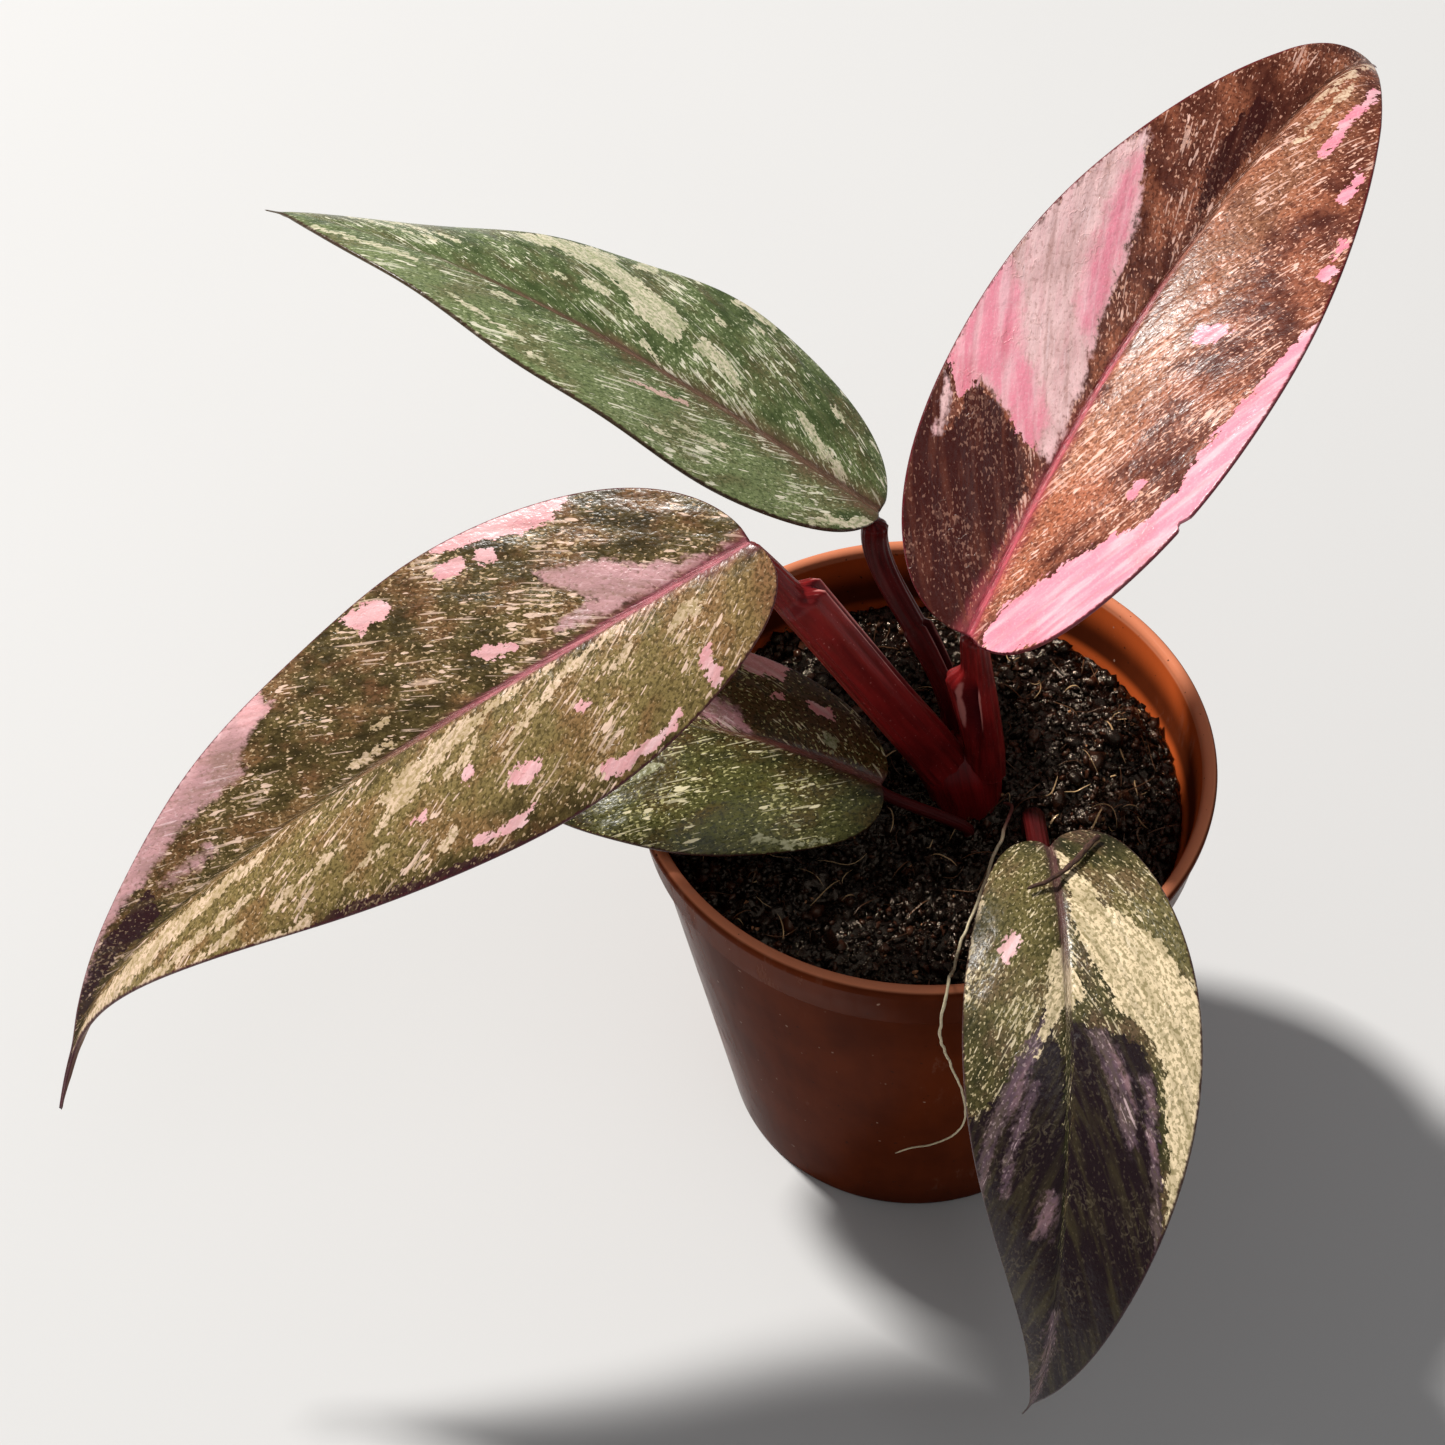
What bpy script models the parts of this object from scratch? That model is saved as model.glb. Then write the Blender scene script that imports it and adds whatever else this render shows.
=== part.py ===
"""A young pink princess philodendron in a small round nursery pot.

Five leaves stand on a short stem in potting soil. The frame has +Z up and its origin at the
centre of the pot's underside. The front, where one leaf hangs over the rim, faces -Y.
Sizes below are in millimetres and degrees, and the objects are in metres.
"""

import math
from dataclasses import dataclass

import bpy
import bmesh
import numpy as np

MM = 0.001
GAP = 0.3

# The pot: a 7 cm nursery pot with a collar, a rolled lip and drain holes
POT_HEIGHT = 65.0
POT_FOOT_RADIUS = 24.5
POT_SHOULDER_RADIUS = 33.0
POT_RIM_RADIUS = 35.0
POT_WALL = 1.2
POT_FLOOR = 1.8
POT_SEGMENTS = 52
COLLAR_HEIGHT = 8.6
COLLAR_STEP = 0.9
LIP_HEIGHT = 1.8
LIP_PROUD = 0.7
FOOT_BEVEL = 0.9
DRAIN_HOLES = 6
DRAIN_RADIUS = 2.2
DRAIN_RING_RADIUS = 14.0
DRAIN_TURN = 0.37
CUTTER_SIDES = 16
CUTTER_TOP = 75.0

# The soil: its top lies this far above the pot's underside, with lumps and a few clumps on it
SOIL_TOP = 56.3
SOIL_RINGS = 13
SOIL_SEGMENTS = 44
SOIL_LUMP = 0.75
SOIL_EDGE_RADIUS = 31.0
SOIL_CLUMPS = ((25.0, 7.0, 4.2, 3.4), (22.5, -6.0, 2.6, 3.0), (-22.0, -9.0, 1.6, 4.0))

# The short stem that carries the leaves, and stands in a hole in the soil. It widens to its top
STEM_CENTRE = (5.7, 0.2)
STEM_FOOT = 44.0
STEM_WAIST = 57.5
STEM_TOP = 65.0
STEM_RADIUS = 4.2
STEM_CROWN_CENTRE = (3.8, 1.3)
STEM_CROWN_HALF = (5.9, 4.4)
STEM_SIDES = 24

# Leaf blades
BLADE_THICKNESS = 0.8
BLADE_ROWS = 26
BLADE_HALF_COLUMNS = 5
COLUMN_CROWDING = 1.5
CURVE_STEPS = 120
STUB_HALF_WIDTH = 1.1
RIB_DEPTH = 1.5
RIB_HALF_WIDTH = 1.0
RIB_TAPER = 0.85
HOOK_START = 0.75
NOD_START = 0.86
TAIL_START = 0.90
TAIL_HALF_WIDTH = 0.7
TIP_HALF_WIDTH = 0.35

# Leaf stalks
STALK_RINGS = 16
STALK_SIDES = 16
SHEATH_STEP = 0.015
GROOVE_DEPTH = 0.9
GROOVE_HALF_WIDTH = 0.4
STALK_CLEARANCE = 0.6

# Roots
ROOT_RADIUS = 0.3
ROOT_STEPS = 5
TWIG_RADIUS = 0.35
TWIG_LIFT = 0.9

# Colours and roughness of the finishes
PLASTIC = ((0.42, 0.10, 0.03, 1.0), 0.35)
SOIL_FINISH = ((0.03, 0.017, 0.01, 1.0), 0.95)
CRIMSON = ((0.25, 0.02, 0.03, 1.0), 0.45)
PALE_ROOT = ((0.62, 0.50, 0.30, 1.0), 0.7)
DRY_TWIG = ((0.05, 0.02, 0.015, 1.0), 0.8)
LEAF_ROUGHNESS = 0.4


@dataclass
class Blade:
    """A leaf blade: a midrib curve that turns and droops, and a width that rises and tapers.

    Pairs are (at the base, at the tip), or (left half, right half) as seen from the stalk.
    """

    name: str
    base: tuple
    length: float
    tail: float
    heading: tuple
    pitch: tuple
    droop: float
    nod: float
    roll: tuple
    twist: float
    hook: float
    half_widths: tuple
    taper: tuple
    fold: tuple
    curls: tuple
    lobes: tuple
    waves: tuple
    colour: tuple


@dataclass
class Stalk:
    """A leaf stalk: it rises out of its foot and bends over to meet its blade from below.

    Pairs are (at the blade, at the foot). The inner side faces the plant's middle. Lean is 0
    for a stalk that starts straight up and arrives at its dip angle, and 1 for a straight one.
    A sheath makes the stalk wider up to its cut-off end, with a groove between its edges.
    """

    name: str
    blade: str
    foot: tuple
    straight: float
    rise: float
    reach: float
    dip: float
    lean: float
    seat: float
    left: tuple
    right: tuple
    outer: tuple
    inner: tuple
    sheath_end: float = 0.0
    sheath_left: tuple = (0.0, 0.0)
    sheath_inner: tuple = (0.0, 0.0)


BLADES = (
    Blade(
        name="blade_upright",
        base=(4.2, -3.4, 88.9),
        length=91.0,
        tail=1.5,
        heading=(57.4, 42.4),
        pitch=(29.5, -1.2),
        droop=2.3,
        nod=-38.0,
        roll=(-10.3, 25.4),
        twist=1.0,
        hook=5.0,
        half_widths=(16.8, 22.0),
        taper=(0.46, 0.89),
        fold=(19.5, 5.0),
        curls=(-5.2, 6.1),
        lobes=(0.2, 2.3),
        waves=(0.35, 2.5),
        colour=(0.20, 0.06, 0.06),
    ),
    Blade(
        name="blade_back",
        base=(-4.1, 14.6, 91.0),
        length=79.0,
        tail=2.0,
        heading=(161.6, 155.5),
        pitch=(32.6, -5.9),
        droop=2.0,
        nod=0.0,
        roll=(0.0, 24.0),
        twist=1.0,
        hook=-3.5,
        half_widths=(15.0, 19.4),
        taper=(0.61, 1.02),
        fold=(10.0, 0.5),
        curls=(-6.5, -21.9),
        lobes=(0.2, 1.2),
        waves=(0.4, 3.0),
        colour=(0.06, 0.12, 0.05),
    ),
    Blade(
        name="blade_left",
        base=(-19.9, -7.4, 110.4),
        length=104.3,
        tail=8.0,
        heading=(195.0, 191.2),
        pitch=(-25.6, -58.5),
        droop=2.6,
        nod=0.0,
        roll=(-18.0, -19.3),
        twist=1.0,
        hook=14.8,
        half_widths=(16.7, 18.2),
        taper=(0.59, 1.29),
        fold=(6.5, 38.5),
        curls=(-23.4, -10.0),
        lobes=(3.5, 0.2),
        waves=(0.4, 3.0),
        colour=(0.15, 0.11, 0.04),
    ),
    Blade(
        name="blade_low",
        base=(-5.0, -6.4, 67.0),
        length=50.2,
        tail=1.5,
        heading=(163.0, 171.0),
        pitch=(20.3, -40.7),
        droop=1.55,
        nod=0.0,
        roll=(-14.0, 1.8),
        twist=1.0,
        hook=4.5,
        half_widths=(16.2, 12.9),
        taper=(0.58, 0.58),
        fold=(3.4, -0.7),
        curls=(-26.4, -20.3),
        lobes=(2.8, 1.0),
        waves=(0.3, 2.0),
        colour=(0.10, 0.10, 0.03),
    ),
    Blade(
        name="blade_front",
        base=(13.0, -16.9, 67.9),
        length=72.0,
        tail=2.5,
        heading=(272.0, 255.0),
        pitch=(19.8, -78.0),
        droop=0.8,
        nod=0.0,
        roll=(-6.5, 26.0),
        twist=2.0,
        hook=-16.0,
        half_widths=(14.4, 11.9),
        taper=(0.64, 1.11),
        fold=(11.2, -5.0),
        curls=(-0.5, -32.0),
        lobes=(5.0, 3.0),
        waves=(0.35, 2.0),
        colour=(0.09, 0.06, 0.06),
    ),
)

STALKS = (
    Stalk(
        name="petiole_left",
        blade="blade_left",
        foot=(0.0, -0.9, STEM_TOP + GAP),
        straight=0.0,
        rise=8.0,
        reach=8.0,
        dip=80.0,
        lean=1.0,
        seat=1.2,
        left=(1.5, 2.3),
        right=(1.5, 2.3),
        outer=(1.6, 1.9),
        inner=(1.6, 4.2),
        sheath_end=0.75,
        sheath_left=(2.3, 2.3),
        sheath_inner=(4.6, 4.3),
    ),
    Stalk(
        name="petiole_upright",
        blade="blade_upright",
        foot=(7.5, -0.9, STEM_TOP + GAP),
        straight=0.0,
        rise=9.0,
        reach=6.0,
        dip=48.0,
        lean=0.6,
        seat=0.6,
        left=(2.2, 2.5),
        right=(1.0, 2.4),
        outer=(1.3, 2.0),
        inner=(1.2, 1.8),
        sheath_end=0.54,
        sheath_left=(4.9, 2.6),
        sheath_inner=(2.0, 1.9),
    ),
    Stalk(
        name="petiole_back",
        blade="blade_back",
        foot=(3.9, 4.1, STEM_TOP + GAP),
        straight=0.0,
        rise=11.0,
        reach=8.0,
        dip=68.0,
        lean=0.2,
        seat=0.3,
        left=(1.5, 1.4),
        right=(1.5, 1.4),
        outer=(0.8, 1.3),
        inner=(2.3, 1.3),
        sheath_end=0.45,
        sheath_left=(1.9, 1.4),
        sheath_inner=(2.6, 1.4),
    ),
    Stalk(
        name="petiole_low",
        blade="blade_low",
        foot=(5.2, -6.8, 51.0),
        straight=6.6,
        rise=1.6,
        reach=3.0,
        dip=25.0,
        lean=0.0,
        seat=0.4,
        left=(0.75, 0.7),
        right=(0.75, 0.7),
        outer=(0.75, 0.7),
        inner=(0.75, 0.7),
    ),
    Stalk(
        name="petiole_front",
        blade="blade_front",
        foot=(12.9, -6.0, 49.0),
        straight=9.0,
        rise=4.0,
        reach=4.0,
        dip=40.0,
        lean=0.0,
        seat=0.6,
        left=(1.2, 1.3),
        right=(1.2, 1.3),
        outer=(1.1, 1.3),
        inner=(1.1, 1.2),
    ),
)

# The pale root that leaves the stem, crosses the soil and hangs over the front of the rim
ROOT_ROUTE = (
    (9.9, -2.6, 57.4),
    (10.6, -4.0, 58.6),
    (10.2, -5.6, 58.8),
    (8.9, -8.7, 58.4),
    (7.6, -11.6, 58.4),
    (5.7, -16.7, 58.4),
    (2.9, -23.1, 58.6),
    (1.4, -28.5, 60.4),
    (0.7, -31.4, 63.4),
    (0.3, -33.3, 65.8),
    (-0.1, -35.0, 66.3),
    (-0.5, -36.3, 65.3),
    (-0.8, -36.6, 62.5),
    (-0.7, -35.8, 58.0),
    (-0.2, -34.8, 54.0),
    (1.4, -33.4, 46.5),
    (2.8, -32.2, 39.5),
    (3.4, -31.2, 32.4),
    (2.4, -30.6, 27.8),
    (0.2, -30.2, 25.2),
    (-2.6, -29.7, 23.6),
    (-4.6, -29.2, 21.6),
)

# The dry twig across the base of the front leaf: places along and across that blade
TWIG_ROUTE = ((0.072, 0.70), (0.088, 0.40), (0.096, 0.12), (0.118, -0.17), (0.150, -0.41))


def clear_scene():
    """Remove every object of the open scene."""
    for item in list(bpy.data.objects):
        bpy.data.objects.remove(item, do_unlink=True)


def finish(name, colour, roughness):
    """A Principled material of one colour and roughness."""
    material = bpy.data.materials.new(name)
    material.use_nodes = True
    shader = material.node_tree.nodes["Principled BSDF"]
    shader.inputs["Base Color"].default_value = colour
    shader.inputs["Roughness"].default_value = roughness
    shader.inputs["Metallic"].default_value = 0.0
    return material


def add_mesh(name, points, faces, look):
    """Put points in millimetres and faces into a new object of this name, facing outwards."""
    mesh = bpy.data.meshes.new(name)
    mesh.from_pydata([tuple(MM * float(value) for value in point) for point in points], [], faces)
    body = bmesh.new()
    body.from_mesh(mesh)
    bmesh.ops.recalc_face_normals(body, faces=body.faces)
    if body.calc_volume(signed=True) < 0.0:
        bmesh.ops.reverse_faces(body, faces=body.faces)
    body.to_mesh(mesh)
    body.free()
    mesh.shade_smooth()
    mesh.set_sharp_from_angle(angle=math.radians(40.0))
    item = bpy.data.objects.new(name, mesh)
    bpy.context.scene.collection.objects.link(item)
    mesh.materials.append(finish(name, *look))
    return item


def lathe(profile, segments):
    """Turn a profile of (radius, height) round Z. Its first and last points lie on the axis."""
    turns = [2.0 * math.pi * k / segments for k in range(segments)]
    points = [(0.0, 0.0, profile[0][1])]
    for radius, height in profile[1:-1]:
        points += [(radius * math.cos(a), radius * math.sin(a), height) for a in turns]
    points.append((0.0, 0.0, profile[-1][1]))
    last = len(points) - 1
    top = last - segments
    faces = []
    for k in range(segments):
        after = (k + 1) % segments
        faces.append((0, 1 + after, 1 + k))
        for ring in range(len(profile) - 3):
            low = 1 + ring * segments
            high = low + segments
            faces.append((low + k, low + after, high + after, high + k))
        faces.append((last, top + k, top + after))
    return points, faces


def tube(rings):
    """Join equal rings of points into a closed tube with a fan over each end."""
    count = len(rings[0])
    points = [tuple(point) for ring in rings for point in ring]
    points.append(tuple(np.mean(rings[0], axis=0)))
    points.append(tuple(np.mean(rings[-1], axis=0)))
    first, last = len(points) - 2, len(points) - 1
    end = (len(rings) - 1) * count
    faces = []
    for k in range(count):
        after = (k + 1) % count
        faces.append((first, after, k))
        for ring in range(len(rings) - 1):
            low = ring * count
            faces.append((low + k, low + after, low + count + after, low + count + k))
        faces.append((last, end + k, end + after))
    return points, faces


def pot_inner_radius(height):
    """Radius of the pot's inner wall below the collar, at a height."""
    shoulder = POT_HEIGHT - COLLAR_HEIGHT
    slope = (POT_SHOULDER_RADIUS - POT_FOOT_RADIUS) / shoulder
    return POT_FOOT_RADIUS + slope * height - POT_WALL


def pot_profile():
    """Half section of the pot, from the middle of its underside round to its inner floor."""
    shoulder = POT_HEIGHT - COLLAR_HEIGHT
    lip = POT_HEIGHT - LIP_HEIGHT
    collar = POT_SHOULDER_RADIUS + COLLAR_STEP
    collar_top = POT_RIM_RADIUS - LIP_PROUD
    inner_top = collar_top - POT_WALL
    return [
        (0.0, 0.0),
        (POT_FOOT_RADIUS - FOOT_BEVEL, 0.0),
        (POT_FOOT_RADIUS - 0.3 * FOOT_BEVEL, 0.3 * FOOT_BEVEL),
        (POT_FOOT_RADIUS, FOOT_BEVEL),
        (POT_SHOULDER_RADIUS, shoulder),
        (collar, shoulder + COLLAR_STEP),
        (collar_top, lip),
        (POT_RIM_RADIUS - 0.2, lip + 0.2),
        (POT_RIM_RADIUS, lip + 0.7),
        (POT_RIM_RADIUS, POT_HEIGHT - 0.7),
        (POT_RIM_RADIUS - 0.4, POT_HEIGHT - 0.15),
        (POT_RIM_RADIUS - 0.9, POT_HEIGHT),
        (inner_top + 0.3, POT_HEIGHT - 0.1),
        (inner_top, POT_HEIGHT - 0.5),
        (collar - POT_WALL, shoulder + COLLAR_STEP),
        (pot_inner_radius(shoulder), shoulder - POT_WALL),
        (pot_inner_radius(POT_FLOOR + 1.0), POT_FLOOR + 1.0),
        (pot_inner_radius(POT_FLOOR) - 1.0, POT_FLOOR),
        (0.0, POT_FLOOR),
    ]


def round_cutter(name, centre, radius, low, high, sides=CUTTER_SIDES):
    """A plain upright cylinder that cuts a hole, kept as a guide that isn't rendered."""
    points, faces = lathe([(0.0, low), (radius, low), (radius, high), (0.0, high)], sides)
    points = [(x + centre[0], y + centre[1], z) for x, y, z in points]
    cutter = add_mesh(name, points, faces, PLASTIC)
    cutter.hide_render = True
    cutter.display_type = "WIRE"
    return cutter


def cut(item, cutters):
    """Subtract the cutters from an object with exact Booleans."""
    for cutter in cutters:
        modifier = item.modifiers.new("cut " + cutter.name, "BOOLEAN")
        modifier.operation = "DIFFERENCE"
        modifier.solver = "EXACT"
        modifier.object = cutter


def build_pot():
    """The pot, with its drain holes in a ring off the centre."""
    points, faces = lathe(pot_profile(), POT_SEGMENTS)
    pot = add_mesh("pot", points, faces, PLASTIC)
    holes = []
    for k in range(DRAIN_HOLES):
        turn = 2.0 * math.pi * (k + DRAIN_TURN) / DRAIN_HOLES
        centre = (DRAIN_RING_RADIUS * math.cos(turn), DRAIN_RING_RADIUS * math.sin(turn))
        holes.append(round_cutter(f"drain_{k}", centre, DRAIN_RADIUS, -POT_FLOOR, 2.0 * POT_FLOOR))
    cut(pot, holes)


def soil_height(x, y):
    """Height of the soil's top: crossing waves of lumps, plus a few clumps near the wall."""
    lumps = (
        np.sin(0.62 * x + 0.35 * y + 0.7)
        + np.sin(-0.41 * x + 0.58 * y + 2.1)
        + 0.7 * np.sin(0.95 * x - 0.83 * y + 4.0)
        + 0.6 * np.sin(1.22 * y + 0.31 * x + 1.3)
    )
    fade = np.clip(1.15 - (np.hypot(x, y) / SOIL_EDGE_RADIUS) ** 4, 0.0, 1.0)
    height = SOIL_TOP + SOIL_LUMP * 0.5 * lumps * fade
    for clump_x, clump_y, rise, spread in SOIL_CLUMPS:
        height += rise * np.exp(-((x - clump_x) ** 2 + (y - clump_y) ** 2) / spread**2)
    return height


def soil_rings():
    """Rings of points of the soil: two up its side, then those of its lumpy top, going inwards."""
    turns = np.linspace(0.0, 2.0 * np.pi, SOIL_SEGMENTS, endpoint=False)
    floor = POT_FLOOR + GAP
    knee = floor + 2.0
    rings = []
    for radius, height in (
        (pot_inner_radius(floor) - 2.0, floor),
        (pot_inner_radius(knee) - GAP, knee),
    ):
        flat = np.full_like(turns, height)
        rings.append(np.stack([radius * np.cos(turns), radius * np.sin(turns), flat], axis=1))
    edge = pot_inner_radius(SOIL_TOP) - GAP - 0.1
    for share in np.linspace(1.0, 0.0, SOIL_RINGS)[:-1]:
        x, y = edge * share * np.cos(turns), edge * share * np.sin(turns)
        rings.append(np.stack([x, y, soil_height(x, y)], axis=1))
    return rings


def build_soil():
    """The soil that fills the pot, lumpy on top, with a plain hole for each stem in it."""
    points, faces = tube(soil_rings())
    soil = add_mesh("soil", points, faces, SOIL_FINISH)
    low = STEM_FOOT - GAP
    radius = STEM_RADIUS + GAP
    holes = [round_cutter("hole_stem", STEM_CENTRE, radius, low, CUTTER_TOP, STEM_SIDES)]
    for stalk in STALKS:
        if stalk.straight > 0.0:
            radius = max(stalk.left[1], stalk.outer[1]) + GAP
            low = stalk.foot[2] - GAP
            holes.append(round_cutter("hole_" + stalk.name, stalk.foot, radius, low, CUTTER_TOP))
    cut(soil, holes)


def stem_ring(height, share):
    """One ring of the stem: round at its waist, a wider oval further back at its crown."""
    turns = np.linspace(0.0, 2.0 * np.pi, STEM_SIDES, endpoint=False)
    grown = float(np.clip((height - STEM_WAIST) / (STEM_TOP - STEM_WAIST), 0.0, 1.0))
    centre = np.array(STEM_CENTRE) * (1.0 - grown) + np.array(STEM_CROWN_CENTRE) * grown
    half = STEM_RADIUS * (1.0 - grown) + np.array(STEM_CROWN_HALF) * grown
    x = centre[0] + share * half[0] * np.cos(turns)
    y = centre[1] + share * half[1] * np.sin(turns)
    return np.stack([x, y, np.full_like(turns, height)], axis=1)


def build_stem():
    """The short stem, rounded at the foot, with a flat crown that the leaf stalks stand on."""
    sections = [
        (STEM_FOOT, 0.45),
        (STEM_FOOT + 0.3, 0.65),
        (STEM_FOOT + 2.0, 0.85),
        (STEM_FOOT + 5.0, 0.95),
        (STEM_FOOT + 9.0, 1.0),
        (STEM_WAIST, 1.0),
        (STEM_WAIST + 2.5, 1.0),
        (STEM_WAIST + 5.0, 1.0),
        (STEM_TOP - 0.5, 1.0),
        (STEM_TOP, 0.94),
    ]
    points, faces = tube([stem_ring(height, share) for height, share in sections])
    add_mesh("stem", points, faces, CRIMSON)


def turned(first, second, degrees):
    """Two crossing directions, turned in their own plane by these angles."""
    cos, sin = np.cos(np.radians(degrees))[:, None], np.sin(np.radians(degrees))[:, None]
    return first * cos + second * sin, second * cos - first * sin


def midrib_frames(blade):
    """Distance along the midrib, its points, and the along, across and up directions there."""
    share = np.linspace(0.0, 1.0 + blade.tail / blade.length, CURVE_STEPS + 1)
    body = np.clip(share, 0.0, 1.0)
    nod = np.clip((share - NOD_START) / (1.0 - NOD_START), 0.0, 2.0)
    pitch = blade.pitch[0] + (blade.pitch[1] - blade.pitch[0]) * body**blade.droop
    pitch = np.radians(pitch + blade.nod * nod)
    heading = np.radians(blade.heading[0] + (blade.heading[1] - blade.heading[0]) * share)
    zero = np.zeros_like(share)
    along = np.stack([np.cos(heading) * np.cos(pitch), np.sin(heading) * np.cos(pitch), np.sin(pitch)], 1)
    across = np.stack([-np.sin(heading), np.cos(heading), zero], axis=1)
    up = np.cross(along, across)
    roll = blade.roll[0] + (blade.roll[1] - blade.roll[0]) * body**blade.twist
    across, up = turned(across, up, roll)
    bend = np.clip((share - HOOK_START) / (1.0 - HOOK_START), 0.0, 1.3) ** 2
    along, across = turned(along, across, blade.hook * bend)
    steps = 0.5 * (along[1:] + along[:-1]) * (blade.length + blade.tail) / CURVE_STEPS
    points = np.concatenate([np.zeros((1, 3)), np.cumsum(steps, axis=0)]) + blade.base
    return share * blade.length, points, along, across, up


def width_share(blade, u):
    """How much of its full half width the blade has at u: u^a (1-u)^b, scaled to peak at 1."""
    a, b = blade.taper
    peak = a / (a + b)
    inside = np.clip(u, 0.0, 1.0)
    return inside**a * (1.0 - inside) ** b / (peak**a * (1.0 - peak) ** b)


def tail_width(blade, u):
    """Half width of the thin tail that carries the blade on past its taper."""
    end = 1.0 + blade.tail / blade.length
    t = np.clip((u - TAIL_START) / (end - TAIL_START), 0.0, 1.0)
    width = TIP_HALF_WIDTH + (TAIL_HALF_WIDTH - TIP_HALF_WIDTH) * (1.0 - t)
    return width * np.clip(4.0 * t, 0.0, 1.0)


def stub_share(blade):
    """The u near the base where the blade is as wide as the stub that meets the stalk."""
    u = np.linspace(0.0, 0.02, 4001)[1:]
    widths = width_share(blade, u) * np.mean(blade.half_widths)
    return float(u[np.argmin(np.abs(widths - STUB_HALF_WIDTH))])


def pick(pair, v):
    """The left value where v > 0 and the right value elsewhere."""
    return np.where(v > 0.0, pair[0], pair[1])


def blade_surface(blade, u, v):
    """Points of the blade's upper face and their distance from the midrib.

    u runs from the base, 0, past the taper's end, 1, to the end of the tail, and v from the
    right edge, -1, to the left edge, 1. A half leaves the midrib at the fold angle and bends
    by its curl on the way to the edge. The basal lobes push it back past the base, and the
    edge is waved a little.
    """
    distance, curve, along, across, up = midrib_frames(blade)
    full = pick(blade.half_widths, v)
    width = np.hypot(width_share(blade, u) * full, tail_width(blade, u))
    out = np.abs(v)
    inside = np.clip(u, 0.0, 1.0)
    back = pick(blade.lobes, v) * np.sin(np.pi * np.clip(width * out / full, 0.0, 1.0))
    s = blade.length * u - back * (1.0 - inside) ** 2

    def at(values):
        return np.stack([np.interp(s, distance, values[:, k]) for k in range(3)], axis=-1)

    fold = np.radians(blade.fold[0] + (blade.fold[1] - blade.fold[0]) * inside**3)
    curl = np.radians(pick(blade.curls, v))
    flat = width * (np.sin(fold + curl * out) - np.sin(fold)) / curl
    rise = width * (np.cos(fold) - np.cos(fold + curl * out)) / curl
    height, count = blade.waves
    phase = 2.0 * np.pi * count * u + np.where(v > 0.0, 0.0, 1.9)
    rise = rise + height * out**3 * np.sin(phase) * np.sin(np.pi * inside)
    points = at(curve) + at(along) * np.minimum(s, 0.0)[..., None]
    points = points + at(across) * (flat * np.sign(v))[..., None] + at(up) * rise[..., None]
    return points, width * out


def grid_normals(points):
    """Unit normals of a grid of points, from its central differences."""
    normals = np.cross(np.gradient(points, axis=0), np.gradient(points, axis=1))
    return normals / np.linalg.norm(normals, axis=2, keepdims=True)


def blade_grid(blade):
    """The upper face of a blade as a grid of points, and its lower face with the raised midrib."""
    first = stub_share(blade)
    last = 1.0 + blade.tail / blade.length
    ease = 0.5 - 0.5 * np.cos(np.linspace(0.0, np.pi, BLADE_ROWS))
    rows = first + (last - first) * (0.35 * ease + 0.65 * ease**1.5)
    columns = np.linspace(-1.0, 1.0, 2 * BLADE_HALF_COLUMNS + 1)
    columns = np.sign(columns) * np.abs(columns) ** COLUMN_CROWDING
    u, v = np.meshgrid(rows, columns, indexing="ij")
    upper, outward = blade_surface(blade, u, v)
    down = grid_normals(upper)
    up = midrib_frames(blade)[4]
    if down[BLADE_ROWS // 2, BLADE_HALF_COLUMNS] @ up[CURVE_STEPS // 2] > 0.0:
        down = -down
    taper = 1.0 - RIB_TAPER * np.clip(u, 0.0, 1.0)
    rib = RIB_DEPTH * taper * np.exp(-((outward / RIB_HALF_WIDTH) ** 2))
    return upper, upper + down * (BLADE_THICKNESS + rib)[..., None]


def sheet_faces(rows, columns):
    """Triangles of an upper and a lower grid, split alike, and of the strip between their edges."""
    index = np.arange(rows * columns).reshape(rows, columns)
    a, b = index[:-1, :-1].ravel(), index[1:, :-1].ravel()
    c, d = index[1:, 1:].ravel(), index[:-1, 1:].ravel()
    upper = np.concatenate([np.stack([a, b, c], axis=1), np.stack([a, c, d], axis=1)])
    under = rows * columns
    lower = upper[:, ::-1] + under
    edge = np.concatenate([index[0, :-1], index[:-1, -1], index[-1, :0:-1], index[:0:-1, 0]])
    after = np.roll(edge, -1)
    strip_a = np.stack([edge, after, after + under], axis=1)
    strip_b = np.stack([edge, after + under, edge + under], axis=1)
    faces = np.concatenate([upper, lower, strip_a, strip_b])
    return [tuple(int(k) for k in face) for face in faces]


def build_blade(blade):
    """One leaf blade as a thin closed sheet with its midrib standing out below."""
    upper, lower = blade_grid(blade)
    rows, columns = upper.shape[:2]
    points = np.concatenate([upper.reshape(-1, 3), lower.reshape(-1, 3)])
    look = (blade.colour + (1.0,), LEAF_ROUGHNESS)
    add_mesh(blade.name, points, sheet_faces(rows, columns), look)


def bezier(controls, t):
    """A cubic curve through its four control points, and its unit direction."""
    a, b, c, d = (np.array(point, float) for point in controls)
    t = t[:, None]
    curve = (1 - t) ** 3 * a + 3 * (1 - t) ** 2 * t * b + 3 * (1 - t) * t**2 * c + t**3 * d
    slope = (1 - t) ** 2 * (b - a) + 2 * (1 - t) * t * (c - b) + t**2 * (d - c)
    return curve, slope / np.linalg.norm(slope, axis=1, keepdims=True)


def stalk_shares(stalk):
    """Shares of the stalk's length where it has a section, two of them at the sheath's end."""
    shares = np.linspace(0.0, 1.0, STALK_RINGS)
    if stalk.sheath_end > 0.0:
        kept = shares[np.abs(shares - stalk.sheath_end) > 2.0 * SHEATH_STEP]
        ends = [stalk.sheath_end - SHEATH_STEP, stalk.sheath_end + SHEATH_STEP]
        shares = np.sort(np.concatenate([kept, ends]))
    return shares


def unit(vector):
    """The vector at length 1."""
    return vector / np.linalg.norm(vector)


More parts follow.
